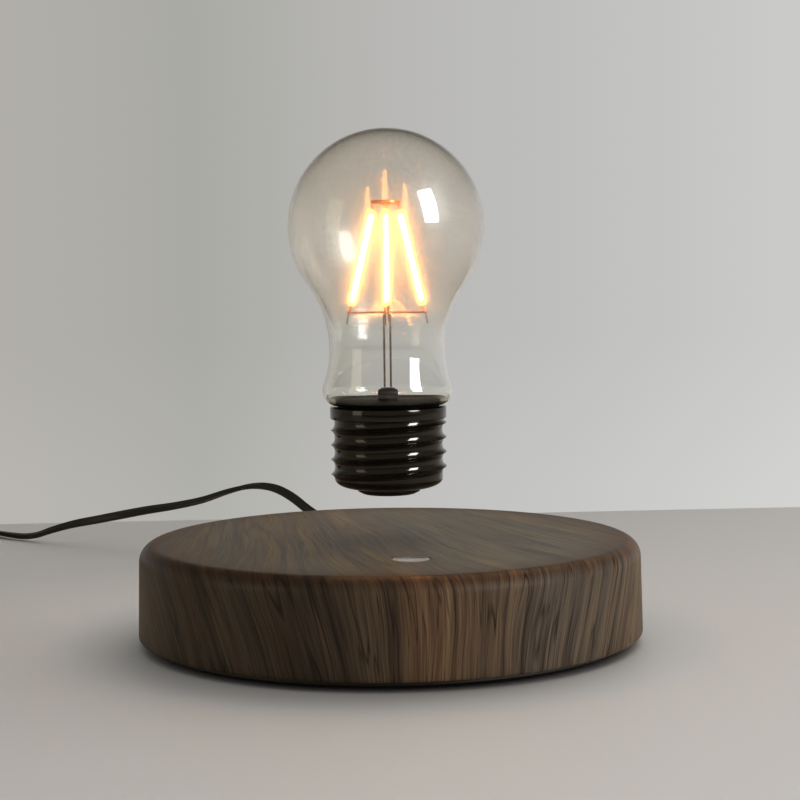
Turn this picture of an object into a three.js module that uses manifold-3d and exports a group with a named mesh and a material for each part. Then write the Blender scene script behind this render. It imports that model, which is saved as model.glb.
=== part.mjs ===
// A levitating lamp: a clear filament bulb that floats above a round walnut base.
// Millimetres, +Z up. The origin is on the table, under the middle of the base.
// The touch disc is at the front, -Y, and the power socket at the back, +Y.

import * as THREE from "three";
import { mergeVertices } from "three/addons/utils/BufferGeometryUtils.js";
import Module from "manifold-3d";

const wasm = await Module();
wasm.setup();

// Driving dimensions

const clearance = 0.3; // between neighbouring pieces
const overrun = 1; // how far a cutting shape runs past the face it opens

const shell = {
  bottomRadius: 84,
  draft: 0.6,
  top: 34,
  bottom: 3,
  wall: 3,
  topThickness: 3,
  rimFillet: 5.5,
  innerFillet: 2.5,
  edgeBreak: 0.8,
};
const bottomPlate = { bottom: 1.2, thickness: 3 };
const foot = { count: 4, radius: 6, pocketDepth: 1, fromWall: 15, firstAngle: 0 };
const shellScrew = {
  count: 4, fromWall: 11, firstAngle: 45, headRadius: 2.8, headHeight: 1.5, shankRadius: 1.2, length: 12,
  bossRadius: 4,
};
const moduleScrew = {
  count: 3, fromBore: 11, firstAngle: 30, headRadius: 2.4, headHeight: 1.3, shankRadius: 1.1, length: 5,
};
const modulePlate = { radiusShare: 0.636, fromBoard: 1.5, rim: 1.5, thickness: 4 };
const ringMagnet = { boreShare: 0.62, height: 10 };
const liftCoil = { fromMagnet: 3, apart: 5.456, firstAngle: 45, boreShare: 0.35, height: 13 };
const coilCore = { flangeShare: 0.46, flangeHeight: 1.2 };
const hallBoard = { fromCores: 1.4 };
const boardThickness = 1.2;
const transmitterCoil = { outerRadius: 40, width: 14, height: 1.5 };

const touchDisc = { radius: 5.9, thickness: 1.2, stemRadius: 2.2, stemReach: 3.8, fromCoil: 6.5, edgeBreak: 0.3 };
const touchBoard = { width: 26, depth: 14, drop: 4.4, postSpacing: 19 };
const boardPost = { radius: 3, stakeRadius: 1.2, headRadius: 2.2, headHeight: 0.8 };
const contactSpring = { radius: 2.4, wire: 0.7 };

const controlBoard = {
  width: 40, thickness: 1.6, fromWall: 5, postHeight: 3.5, postInset: 4,
};
const socket = {
  width: 11, length: 14, height: 10.5, inset: 3.5, noseWall: 1.7, plugRoom: 0.35, boreDepth: 10, noseSetBack: 0.5,
};
const capacitor = { radius: 4, height: 11, fromLeft: 7.5, fromPost: 6 };
const driverChip = { width: 7, depth: 7, height: 2.2, fromRight: 10, fromPost: 5.5 };

const bulbTurn = -14; // degrees: how far the bulb has spun from the front
const floatHeight = 15; // from the base up to the end button
const cap = {
  seatRadius: 10.6,
  cupHeight: 3.3,
  threadHeight: 20,
  collarHeight: 4.1,
  collarEdge: 0.3,
  floorThickness: 2.1,
  wall: 1.85,
  shoulderWidth: 1.8,
  shoulderRoom: 1.2,
};
const thread = {
  crestRadius: 19.4, depth: 1.35, pitch: 4.87, firstCrestRise: 1.6, firstAngle: 186, turnCount: 3.5, fadeShare: 0.2,
};
const endButton = { height: 1.6, lowerRadius: 8.7, sideRoom: 0.2, chamfer: 0.9 };
const receiverCoil = { innerRadius: 5, sideRoom: 0.9, height: 1.5 };
const liftMagnet = { sideRoom: 0.4, height: 9 };
const neckDisc = { spigotDepth: 6, flangeThickness: 0.6 };
const stem = { radius: 3.45, height: 4.7, edge: 0.8 };

const glass = {
  wall: 1,
  sphereRadius: 32.5,
  sphereRise: 40,
  waistRadius: 19.3,
  waistRise: 19.1,
  flareRadius: 21.8,
  lipFillet: 5,
  lipRadius: 17.5,
};

const supportWire = { radius: 0.35, spacing: 2.1, length: 24.5 };
const crossWire = { radius: 0.4, overhang: 1, tailRadius: 0.25, tailDrop: 3.9, tailSpread: 0.5 };
const filament = { radius: 1, bottomRadius: 11.9, topRadius: 4.45, rise: 2.3, height: 31.2, leadRadius: 0.5 };
const topRing = { width: 1, rise: 1.9, height: 1.4, leadRadius: 0.4 };

const plug = { radius: 5, length: 17, edge: 1, barrelRadius: 2.75, barrelBore: 1.35, barrelLength: 9.5 };
const plugBoot = { length: 10, startRadius: 3.8, endRadius: 2.5 };
const cord = { diameter: 3.8, stepsPerPoint: 2 };
const cordCoil = {
  centreX: -184, centreY: 278.6, outerRadius: 24.9, radialStep: 5, layerStep: 4.4, layers: 4, turns: 8.25,
};
const cordTie = { width: 8, thickness: 1, angle: -45, sideRoom: 0.9 };
const adaptor = { length: 62, width: 42, edge: 4, bootLength: 24, bootRadius: 4.2, bootEndRadius: 2.6 };
const adaptorPin = { radius: 2, length: 19, spacing: 19 };

// Counts of facets

const facets = { shell: 48, ring: 32, glass: 32, cap: 32, round: 20, small: 12, lead: 8, coil: 6, wire: 6 };
const arcSteps = 4;
const glassSteps = { sphere: 9, waist: 5, flare: 2, lip: 3 };
const coilStepsPerTurn = 24;
const threadRowsPerTurn = 5;
const threadSharpness = 3;

// The lead's way from its plug to the coil, chosen by hand: back, up in a low arch, and down to the table

const leadRoute = [
  [0, 116, 15.2],
  [-0.5, 125, 16],
  [-2.6, 135, 18],
  [-6.9, 145, 20.9],
  [-12.4, 155, 24.4],
  [-18.2, 165.5, 28.6],
  [-24.6, 176.5, 31.1],
  [-32.8, 188.5, 30.7],
  [-42.2, 198, 27.6],
  [-53.4, 207, 23],
  [-65.5, 215.5, 19.7],
  [-76.9, 223, 17.3],
  [-88, 230.3, 14.6],
  [-99, 237.1, 11.9],
  [-109.8, 243.9, 9.3],
  [-119.6, 250.6, 6],
  [-126.5, 256.2, 3.2],
  [-132.4, 262, 2],
  [-138.6, 268.4, 1.9],
  [-144.5, 276.5, 1.9],
  [-150, 286.5, 1.9],
  [-156.5, 295.8, 1.9],
  [-164, 301.5, 2.3],
  [-172, 303.4, 3],
];

// Small helpers

const radians = THREE.MathUtils.degToRad;
const onCircle = (radius, degrees) => [radius * Math.cos(radians(degrees)), radius * Math.sin(radians(degrees))];
const angles = (count, first) => Array.from({ length: count }, (_, i) => first + (i * 360) / count);

// Points of an arc in the turning plane: radius from the axis, then height
function arc(centreRadius, centreHeight, radius, fromDegrees, toDegrees, steps = arcSteps) {
  return Array.from({ length: steps + 1 }, (_, i) => {
    const angle = radians(fromDegrees + ((toDegrees - fromDegrees) * i) / steps);
    return [centreRadius + radius * Math.cos(angle), centreHeight + radius * Math.sin(angle)];
  });
}

// Merges equal corners, drops empty triangles and turns the faces outwards
function closed(geometry) {
  geometry.deleteAttribute("normal");
  geometry.deleteAttribute("uv");
  const merged = mergeVertices(geometry);
  const place = merged.attributes.position;
  const kept = [];
  let volume = 0;
  const [a, b, c] = [new THREE.Vector3(), new THREE.Vector3(), new THREE.Vector3()];
  for (let i = 0; i < merged.index.count; i += 3) {
    const corners = [0, 1, 2].map((k) => merged.index.getX(i + k));
    if (new Set(corners).size < 3) continue;
    [a, b, c].forEach((corner, k) => corner.fromBufferAttribute(place, corners[k]));
    volume += a.dot(b.cross(c));
    kept.push(corners);
  }
  merged.setIndex(kept.flatMap(([p, q, r]) => (volume < 0 ? [p, r, q] : [p, q, r])));
  return merged;
}

function toSolid(geometry) {
  const ready = closed(geometry.clone());
  return new wasm.Manifold(
    new wasm.Mesh({
      numProp: 3,
      vertProperties: new Float32Array(ready.attributes.position.array),
      triVerts: new Uint32Array(ready.index.array),
    })
  );
}

function toGeometry(solid) {
  const mesh = solid.getMesh();
  const geometry = new THREE.BufferGeometry();
  geometry.setAttribute("position", new THREE.BufferAttribute(new Float32Array(mesh.vertProperties), 3));
  geometry.setIndex(Array.from(mesh.triVerts));
  return geometry;
}

const joined = (...bodies) => toGeometry(bodies.map(toSolid).reduce((whole, body) => whole.add(body)));
const cut = (body, ...tools) =>
  toGeometry(tools.map(toSolid).reduce((left, tool) => left.subtract(tool), toSolid(body)));

// A profile of [radius, height] points turned about Z
function turned(profile, segments = facets.round) {
  const points = profile.map(([radius, height]) => new THREE.Vector2(Math.max(radius, 0), height));
  return new THREE.LatheGeometry(points, segments).rotateX(Math.PI / 2);
}

// A ring profile closes on itself
const turnedRing = (profile, segments) => turned([...profile, profile[0]], segments);

const disc = (radius, bottom, top, segments) =>
  turned([[0, bottom], [radius, bottom], [radius, top], [0, top]], segments);

const washer = (innerRadius, outerRadius, bottom, top, segments) =>
  turnedRing([[innerRadius, bottom], [outerRadius, bottom], [outerRadius, top], [innerRadius, top]], segments);

// A box by its middle in X and Y and its lower and upper faces
function block(width, depth, bottom, top) {
  return new THREE.BoxGeometry(width, depth, top - bottom).translate(0, 0, (bottom + top) / 2);
}

// A round rod between two points
function rod(from, to, radius, sides = facets.wire) {
  const [start, end] = [new THREE.Vector3(...from), new THREE.Vector3(...to)];
  const along = end.clone().sub(start);
  const geometry = new THREE.CylinderGeometry(radius, radius, along.length(), sides);
  const turn = new THREE.Quaternion().setFromUnitVectors(new THREE.Vector3(0, 1, 0), along.normalize());
  return geometry.applyQuaternion(turn).translate(...start.add(end).divideScalar(2).toArray());
}

const knot = (at, radius, sides = facets.wire) =>
  new THREE.SphereGeometry(radius, sides, sides / 2).translate(...at);

// A turned shape laid along +Y, with its first height at the given place
const alongY = (geometry, x, y, z) => geometry.rotateX(-Math.PI / 2).translate(x, y, z);

// A screw that points up, with its head's lower face at height 0
function screwShape({ headRadius, headHeight, shankRadius, length }) {
  return turned(
    [[0, 0], [headRadius, 0], [headRadius, headHeight], [shankRadius, headHeight], [shankRadius, length], [0, length]],
    facets.small
  );
}

// A tube of even width along a smooth way through points
function tube(points, diameter, sides, steps) {
  const way = new THREE.CatmullRomCurve3(points.map((point) => new THREE.Vector3(...point)), false, "centripetal");
  const section = new THREE.Shape();
  section.absarc(0, 0, diameter / 2, 0, 2 * Math.PI);
  return new THREE.ExtrudeGeometry(section, { steps, extrudePath: way, curveSegments: sides / 2 });
}

// Colours and finishes

const finish = (color, roughness, metalness = 0) => new THREE.MeshStandardMaterial({ color, roughness, metalness });
const finishes = {
  walnut: finish("#4a382b", 0.55),
  blackPlastic: finish("#181614", 0.6),
  glossBlack: finish("#15120f", 0.12),
  rubber: finish("#1b1b1b", 0.9),
  silver: finish("#b9b9b6", 0.3, 1),
  steel: finish("#8d8f91", 0.35, 1),
  copper: finish("#b4653a", 0.35, 1),
  ferrite: finish("#3a3a3c", 0.7),
  circuitBoard: finish("#1f4d33", 0.5),
  clearGlass: new THREE.MeshStandardMaterial({ color: "#e8ecec", roughness: 0.02, transparent: true, opacity: 0.25 }),
  glowing: new THREE.MeshStandardMaterial({ color: "#ffd9a0", roughness: 0.5, emissive: "#ffb050" }),
};

const lamp = new THREE.Group();
const bulb = new THREE.Group();
bulb.rotation.z = radians(bulbTurn);
lamp.add(bulb);

function add(name, geometry, material, group = lamp) {
  const mesh = new THREE.Mesh(closed(geometry), material);
  mesh.name = name;
  group.add(mesh);
  return mesh;
}

// Heights that follow from the pieces stacked in the base

const plateTop = bottomPlate.bottom + bottomPlate.thickness;
const moduleBottom = plateTop + clearance;
const moduleTop = moduleBottom + modulePlate.thickness;
const magnetBottom = moduleTop + clearance;
const coilTop = magnetBottom + liftCoil.height;
const shellUnderside = shell.top - shell.topThickness;

// Radii that follow from the shell's, going inwards: wall, control board, module, magnet, coils

const shellTopRadius = shell.bottomRadius - shell.draft;
const innerRadius = shell.bottomRadius - shell.wall;
const footCircle = innerRadius - foot.fromWall;
const shellScrewCircle = innerRadius - shellScrew.fromWall;
const boardOuterEdge = innerRadius - controlBoard.fromWall;
const moduleRadius = innerRadius * modulePlate.radiusShare;
const boardInnerEdge = moduleRadius + modulePlate.fromBoard;
const boardDepth = boardOuterEdge - boardInnerEdge;
const magnetRadius = moduleRadius - modulePlate.rim;
const magnetBore = magnetRadius * ringMagnet.boreShare;
const moduleScrewCircle = magnetBore + moduleScrew.fromBore;
// Four coils in the magnet's bore, clear of it and of each other
const coilReach = magnetBore - liftCoil.fromMagnet;
const coilRadius = (Math.SQRT2 * coilReach - liftCoil.apart) / (2 + Math.SQRT2);
const coilCircle = coilReach - coilRadius;
const coilBore = coilRadius * liftCoil.boreShare;
const flangeRadius = coilRadius * coilCore.flangeShare;
const touchY = -(transmitterCoil.outerRadius + touchDisc.fromCoil);
const socketBore = plug.barrelRadius + socket.plugRoom;
const noseRadius = socketBore + socket.noseWall;

const touchBoardTop = shellUnderside - touchBoard.drop - clearance;
const touchBoardBottom = touchBoardTop - boardThickness;

const boardBottom = plateTop + controlBoard.postHeight + clearance;
const boardTop = boardBottom + controlBoard.thickness;
const socketBottom = boardTop + clearance;
const socketAxis = socketBottom + socket.height / 2;
const socketMouth = shell.bottomRadius - socket.noseSetBack;

// A post that stops short of a board and goes on through it as a stake with a flattened head.
// It points up or down, whichever way the board's near and far faces lie from its root.
function stakedPost(root, nearFace, farFace) {
  const away = Math.sign(farFace - nearFace) * clearance;
  const headTop = farFace + away + Math.sign(away) * boardPost.headHeight;
  return turned(
    [
      [0, root],
      [boardPost.radius, root],
      [boardPost.radius, nearFace - away],
      [boardPost.stakeRadius, nearFace - away],
      [boardPost.stakeRadius, farFace + away],
      [boardPost.headRadius, farFace + away],
      [boardPost.headRadius, headTop],
      [0, headTop],
    ],
    facets.small
  );
}

// A board with a hole at each place that a stake goes through, its middle over the origin
function stakedBoard(board, bottom, top, sides, y) {
  const holes = sides.map((x) =>
    disc(boardPost.stakeRadius + clearance, bottom - overrun, top + overrun, facets.small).translate(x, y, 0)
  );
  return cut(block(board.width, board.depth, bottom, top), ...holes);
}

const touchSides = [-1, 1].map((side) => (side * touchBoard.postSpacing) / 2);

// Base shell: a turned cup with screw bosses, a pocket for the touch disc and a hole for the socket

function shellBody() {
  const { bottomRadius, top, bottom, rimFillet, innerFillet, edgeBreak } = shell;
  const cup = turned(
    [
      [0, top],
      ...arc(shellTopRadius - rimFillet, top - rimFillet, rimFillet, 90, 0),
      [bottomRadius, bottom + edgeBreak],
      [bottomRadius - edgeBreak, bottom],
      [innerRadius, bottom],
      ...arc(innerRadius - innerFillet, shellUnderside - innerFillet, innerFillet, 0, 90),
      [0, shellUnderside],
    ],
    facets.shell
  );
  const rooted = shellUnderside + shell.topThickness / 2;
  const bosses = angles(shellScrew.count, shellScrew.firstAngle).map((angle) =>
    disc(shellScrew.bossRadius, plateTop + clearance, rooted, facets.small).translate(
      ...onCircle(shellScrewCircle, angle), 0)
  );
  const screwTop = bottomPlate.bottom + clearance + shellScrew.length;
  const pilots = angles(shellScrew.count, shellScrew.firstAngle).map((angle) =>
    disc(shellScrew.shankRadius + clearance, plateTop - overrun, screwTop + clearance, facets.small).translate(
      ...onCircle(shellScrewCircle, angle), 0)
  );
  const touchPosts = touchSides.map((x) =>
    stakedPost(rooted, touchBoardTop, touchBoardBottom).translate(x, touchY, 0)
  );
  const discPocket = turned(
    [
      [0, shellUnderside - overrun],
      [touchDisc.stemRadius + clearance, shellUnderside - overrun],
      [touchDisc.stemRadius + clearance, top - touchDisc.thickness - clearance],
      [touchDisc.radius + clearance, top - touchDisc.thickness - clearance],
      [touchDisc.radius + clearance, top + overrun],
      [0, top + overrun],
    ],
    facets.round
  ).translate(0, touchY, 0);
  const socketHole = alongY(
    disc(noseRadius + clearance, 0, 2 * shell.wall + 2 * overrun, facets.round),
    0, innerRadius - shell.wall - overrun, socketAxis
  );
  return cut(joined(cup, ...bosses, ...touchPosts), ...pilots, discPocket, socketHole);
}

add("wood_shell", shellBody(), finishes.walnut);

// Bottom plate, its feet and the screws that come up through it

const plateRadius = innerRadius - clearance;
const postSides = [-1, 1].map((side) => side * (controlBoard.width / 2 - controlBoard.postInset));
const postY = boardInnerEdge + controlBoard.postInset;

function counterbore(screw, circle, angle) {
  const seat = bottomPlate.bottom + screw.headHeight + 2 * clearance;
  return turned(
    [
      [0, bottomPlate.bottom - overrun],
      [screw.headRadius + clearance, bottomPlate.bottom - overrun],
      [screw.headRadius + clearance, seat],
      [screw.shankRadius + clearance, seat],
      [screw.shankRadius + clearance, plateTop + overrun],
      [0, plateTop + overrun],
    ],
    facets.small
  ).translate(...onCircle(circle, angle), 0);
}

function plateBody() {
  const plate = disc(plateRadius, bottomPlate.bottom, plateTop, facets.shell);
  const posts = postSides.map((x) =>
    stakedPost(bottomPlate.bottom + bottomPlate.thickness / 2, boardBottom, boardTop).translate(x, postY, 0)
  );
  const pockets = angles(foot.count, foot.firstAngle).map((angle) =>
    disc(foot.radius + clearance, bottomPlate.bottom - overrun, bottomPlate.bottom + foot.pocketDepth, facets.round)
      .translate(...onCircle(footCircle, angle), 0)
  );
  const screwHoles = [[shellScrew, shellScrewCircle], [moduleScrew, moduleScrewCircle]].flatMap(([screw, circle]) =>
    angles(screw.count, screw.firstAngle).map((angle) => counterbore(screw, circle, angle))
  );
  return cut(joined(plate, ...posts), ...pockets, ...screwHoles);
}

add("bottom_plate", plateBody(), finishes.blackPlastic);

angles(foot.count, foot.firstAngle).forEach((angle, i) => {
  const top = bottomPlate.bottom + foot.pocketDepth - clearance;
  add(`rubber_foot_${i + 1}`, disc(foot.radius, 0, top, facets.round), finishes.rubber)
    .position.set(...onCircle(footCircle, angle), 0);
});

for (const [name, screw, circle] of [
  ["shell_screw", shellScrew, shellScrewCircle], ["module_screw", moduleScrew, moduleScrewCircle],
]) {
  angles(screw.count, screw.firstAngle).forEach((angle, i) => {
    add(`${name}_${i + 1}`, screwShape(screw), finishes.steel)
      .position.set(...onCircle(circle, angle), bottomPlate.bottom + clearance);
  });
}

// Levitation module: a plate that carries the ring magnet and four electromagnets round a sensor board

const moduleHoles = angles(moduleScrew.count, moduleScrew.firstAngle).map((angle) =>
  disc(moduleScrew.shankRadius + clearance, moduleBottom - overrun,
    bottomPlate.bottom + moduleScrew.length + 2 * clearance, facets.small)
    .translate(...onCircle(moduleScrewCircle, angle), 0)
);
add("module_plate", cut(disc(moduleRadius, moduleBottom, moduleTop, facets.ring), ...moduleHoles),
  finishes.blackPlastic);
add("ring_magnet",
  washer(magnetBore, magnetRadius, magnetBottom, magnetBottom + ringMagnet.height, facets.ring),
  finishes.ferrite);

const coreRadius = coilBore - clearance;
const coreProfile = [
  [0, magnetBottom],
  [coreRadius, magnetBottom],
  [coreRadius, coilTop + clearance],
  [flangeRadius, coilTop + clearance],
  [flangeRadius, coilTop + clearance + coilCore.flangeHeight],
  [0, coilTop + clearance + coilCore.flangeHeight],
];
angles(4, liftCoil.firstAngle).forEach((angle, i) => {
  const place = onCircle(coilCircle, angle);
  add(`lift_coil_${i + 1}`, washer(coilBore, coilRadius, magnetBottom, coilTop), finishes.copper)
    .position.set(...place, 0);
  add(`coil_core_${i + 1}`, turned(coreProfile, facets.small), finishes.steel).position.set(...place, 0);
});
add("hall_sensor_board",
  disc(coilCircle - flangeRadius - hallBoard.fromCores, coilTop + clearance,
    coilTop + clearance + boardThickness),
  finishes.circuitBoard);
add("transmitter_coil",
  washer(transmitterCoil.outerRadius - transmitterCoil.width, transmitterCoil.outerRadius,
    shellUnderside - clearance - transmitterCoil.height, shellUnderside - clearance, facets.ring),
  finishes.copper);

// Touch switch: the disc in the top, the spring under its stem and the sensor board

const stemBottom = shell.top - touchDisc.stemReach;
const touchSwitch = new THREE.Group();
touchSwitch.position.y = touchY;
lamp.add(touchSwitch);

add("touch_disc",
  turned([
    [0, stemBottom],
    [touchDisc.stemRadius, stemBottom],
    [touchDisc.stemRadius, shell.top - touchDisc.thickness],
    [touchDisc.radius, shell.top - touchDisc.thickness],
    [touchDisc.radius, shell.top - touchDisc.edgeBreak],
    [touchDisc.radius - touchDisc.edgeBreak, shell.top],
    [0, shell.top],
  ]),
  finishes.silver, touchSwitch);
add("contact_spring",
  washer(contactSpring.radius - contactSpring.wire, contactSpring.radius, touchBoardTop + clearance,
    stemBottom - clearance, facets.small),
  finishes.copper, touchSwitch);

add("touch_sensor_board", stakedBoard(touchBoard, touchBoardBottom, touchBoardTop, touchSides, 0),
  finishes.circuitBoard, touchSwitch);

// Control board with its power socket, capacitor and driver chip

const boardMiddle = (boardInnerEdge + boardOuterEdge) / 2;
add("control_board", stakedBoard({ width: controlBoard.width, depth: boardDepth }, boardBottom, boardTop, postSides, postY - boardMiddle),
  finishes.circuitBoard).position.y = boardMiddle;
add("capacitor", disc(capacitor.radius, socketBottom, socketBottom + capacitor.height, facets.small),
  finishes.blackPlastic)
  .position.set(capacitor.fromLeft - controlBoard.width / 2, postY + capacitor.fromPost, 0);
add("driver_chip", block(driverChip.width, driverChip.depth, socketBottom, socketBottom + driverChip.height),
  finishes.blackPlastic)
  .position.set(controlBoard.width / 2 - driverChip.fromRight, postY + driverChip.fromPost, 0);

const socketFront = innerRadius - clearance - socket.noseSetBack;
const socketBack = socketFront - socket.length;
function socketBody() {
  const box = block(socket.width, socket.length, socketBottom, socketBottom + socket.height)
    .translate(0, (socketFront + socketBack) / 2, 0);
  const nose = alongY(disc(noseRadius, 0, socketMouth - socketFront + socket.inset), 0,
    socketFront - socket.inset, socketAxis);
  const bore = alongY(disc(socketBore, 0, socket.boreDepth + overrun), 0, socketMouth - socket.boreDepth,
    socketAxis);
  return cut(joined(box, nose), bore);
}
add("power_socket", socketBody(), finishes.blackPlastic);
const pinStart = socketMouth - socket.boreDepth + clearance;
add("socket_pin", alongY(disc(plug.barrelBore - socket.plugRoom, 0, socket.boreDepth - 2 * socket.noseSetBack, facets.small), 0,
  pinStart, socketAxis), finishes.silver);

// Heights and radii of the bulb's cap, from the end button up

const buttonBottom = shell.top + floatHeight;
const buttonTop = buttonBottom + endButton.height;
const capBottom = buttonTop + clearance;
const capFloor = capBottom + cap.floorThickness;
const cupTop = capBottom + cap.cupHeight;
const threadTop = cupTop + cap.threadHeight;
const collarTop = threadTop + cap.collarHeight;
const valleyRadius = thread.crestRadius - thread.depth;
const capBore = valleyRadius - cap.wall;
const magnetHollow = capBore - cap.shoulderWidth;
const receiverBottom = capFloor + clearance;
const liftMagnetBottom = receiverBottom + receiverCoil.height + clearance;
const capShoulder = liftMagnetBottom + liftMagnet.height + cap.shoulderRoom;

// Bulb cap: one skin whose thread rows climb as they go round

const firstCrest = cupTop + thread.firstCrestRise;
function threadRadius(degrees, height) {
  const turn = (degrees - thread.firstAngle) / 360;
  const along = (height - firstCrest) / thread.pitch - turn;
  const crest = Math.round(along);
  const turnsIn = crest + turn;
  const fade = Math.min((turnsIn + thread.fadeShare) / thread.fadeShare,
    (thread.turnCount + thread.fadeShare - turnsIn) / thread.fadeShare);
  const ridge = Math.pow(1 - 2 * Math.abs(along - crest), threadSharpness) * THREE.MathUtils.clamp(fade, 0, 1);
  return valleyRadius + thread.depth * ridge;
}

function capBody() {
  const { seatRadius, collarEdge } = cap;
  const collarRadius = thread.crestRadius;
  const plain = ([radius, height]) => () => [radius, height];
  const cup = Array.from({ length: arcSteps }, (_, i) => {
    const angle = ((i / arcSteps) * Math.PI) / 2;
    return [seatRadius + (valleyRadius - seatRadius) * Math.sin(angle), cupTop - cap.cupHeight * Math.cos(angle)];
  });
  const rowRise = thread.pitch / threadRowsPerTurn;
  const rowCount = Math.ceil(cap.threadHeight / rowRise) + threadRowsPerTurn;
  const first = cupTop - thread.pitch + (thread.firstCrestRise % rowRise) - rowRise;
  const climbing = Array.from({ length: rowCount + 3 }, (_, row) => (turn) => {
    const height = THREE.MathUtils.clamp(first + rowRise * row + thread.pitch * turn, cupTop, threadTop);
    return [threadRadius(turn * 360, height), height];
  });
  const rows = [
    ...[[0, capBottom], ...cup].map(plain),
    ...climbing,
    ...[
      [collarRadius - collarEdge, threadTop],
      [collarRadius, threadTop + collarEdge],
      [collarRadius, collarTop - collarEdge],
      [collarRadius - collarEdge, collarTop],
      [capBore, collarTop],
      [capBore, capShoulder],
      [magnetHollow, capShoulder],
      [magnetHollow, capFloor],
      [0, capFloor],
    ].map(plain),
  ];
  const places = [];
  const faces = [];
  const across = facets.cap + 1;
  rows.forEach((row, r) => {
    for (let column = 0; column < across; column++) {
      const turn = column / facets.cap;
      const [radius, height] = row(turn);
      places.push(...onCircle(radius, turn * 360), height);
      if (r === 0 || column === 0) continue;
      const here = r * across + column;
      faces.push(here, here - 1, here - across, here - 1, here - across - 1, here - across);
    }
  });
  const geometry = new THREE.BufferGeometry();
  geometry.setAttribute("position", new THREE.Float32BufferAttribute(places, 3));
  geometry.setIndex(faces);
  return geometry;
}

add("threaded_cap", capBody(), finishes.glossBlack, bulb);
const buttonRadius = cap.seatRadius - endButton.sideRoom;
add("end_button",
  turned([
    [0, buttonBottom],
    [endButton.lowerRadius, buttonBottom],
    [buttonRadius, buttonBottom + endButton.chamfer],
    [buttonRadius, buttonTop],
    [0, buttonTop],
  ]),
  finishes.glossBlack, bulb);

// Inside the cap: receiver coil, lift magnet and receiver board, closed by the disc in the neck

add("receiver_coil",
  washer(receiverCoil.innerRadius, magnetHollow - receiverCoil.sideRoom, receiverBottom,
    receiverBottom + receiverCoil.height),
  finishes.copper, bulb);
add("lift_magnet",
  disc(magnetHollow - liftMagnet.sideRoom, liftMagnetBottom, liftMagnetBottom + liftMagnet.height),
  finishes.silver, bulb);
add("receiver_board", disc(capBore - clearance, capShoulder + clearance, capShoulder + clearance + boardThickness),
  finishes.circuitBoard, bulb);
const discBottom = collarTop + clearance;
const discTop = discBottom + neckDisc.flangeThickness;
add("neck_disc",
  turned([
    [0, discBottom - neckDisc.spigotDepth],
    [capBore - clearance, discBottom - neckDisc.spigotDepth],
    [capBore - clearance, discBottom],
    [glass.lipRadius - clearance, discBottom],
    [glass.lipRadius - clearance, discTop],
    [0, discTop],
  ]),
  finishes.blackPlastic, bulb);

const stemTop = discTop + clearance + stem.height;
add("filament_stem",
  turned([
    [0, discTop + clearance],
    [stem.radius, discTop + clearance],
    ...arc(stem.radius - stem.edge, stemTop - stem.edge, stem.edge, 0, 90),
    [0, stemTop],
  ], facets.small),
  finishes.blackPlastic, bulb);

// Glass: a sphere that runs through a hollow waist into a flare and a turned-in lip

const waistHeight = discBottom + glass.waistRise;
const sphereCentre = waistHeight + glass.sphereRise;
function glassWall(inset) {
  const sphere = glass.sphereRadius - inset;
  const waist = glass.waistRadius - inset;
  const flare = glass.flareRadius - inset;
  const lip = glass.lipFillet - inset;
  const rise = glass.sphereRise;
  // The waist's circle touches the sphere from outside
  const waistArc = (waist ** 2 + rise ** 2 - sphere ** 2) / (2 * (sphere - waist));
  const waistCentre = waist + waistArc;
  const toSphere = THREE.MathUtils.radToDeg(Math.atan2(rise, -waistCentre));
  // The flare's circle touches the waist's circle from outside
  const flareHeight = discBottom + glass.lipFillet;
  const drop = glass.waistRise - glass.lipFillet;
  const reach = waistCentre - flare;
  const flareArc = (reach ** 2 + drop ** 2 - waistArc ** 2) / (2 * (waistArc - reach));
  const flareCentre = flare - flareArc;
  const toFlare = THREE.MathUtils.radToDeg(Math.atan2(-drop, flareCentre - waistCentre));
  const lipCentre = flare - lip;
  const lipEnd = -THREE.MathUtils.radToDeg(Math.acos((glass.lipRadius - lipCentre) / lip));
  const sphereEnd = THREE.MathUtils.radToDeg(Math.atan2(-rise, waistCentre));
  return [
    ...arc(0, sphereCentre, sphere, 90, sphereEnd, glassSteps.sphere),
    ...arc(waistCentre, waistHeight, waistArc, toSphere, 360 + toFlare, glassSteps.waist).slice(1),
    ...arc(flareCentre, flareHeight, flareArc, 180 + toFlare, 0, glassSteps.flare).slice(1),
    ...arc(lipCentre, flareHeight, lip, 0, lipEnd, glassSteps.lip).slice(1),
  ];
}

add("glass_envelope", turned([...glassWall(0), ...glassWall(glass.wall).reverse()], facets.glass), finishes.clearGlass,
  bulb);

// Filaments on their wires

const supportTop = stemTop + clearance + supportWire.length;
[-1, 1].forEach((side) => {
  const name = side < 0 ? "left" : "right";
  const x = (side * supportWire.spacing) / 2;
  add(`support_wire_${name}`, rod([x, 0, stemTop + clearance], [x, 0, supportTop], supportWire.radius),
    finishes.steel, bulb);
});

const crossHeight = supportTop + clearance + crossWire.radius;
const filamentBottom = crossHeight + filament.rise;
const filamentTop = filamentBottom + filament.height;
const slope = (filament.bottomRadius - filament.topRadius) / filament.height;
const joint = filament.bottomRadius + slope * filament.rise;

// One arm out to a filament: the wire, its lead up to the filament's end and the thin tail below
function wireArm(from, [dx, dy]) {
  const at = (radius, height) => [dx * radius, dy * radius, height];
  const leadTop = filamentBottom - clearance;
  return [
    rod(from, at(joint + crossWire.overhang, crossHeight), crossWire.radius),
    rod(at(joint, crossHeight), at(joint - slope * (leadTop - crossHeight), leadTop), filament.leadRadius),
    knot(at(joint, crossHeight), filament.leadRadius),
    rod(at(joint + crossWire.tailSpread, crossHeight),
      at(joint + 2 * crossWire.tailSpread, crossHeight - crossWire.tailDrop), crossWire.tailRadius),
  ];
}

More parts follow.
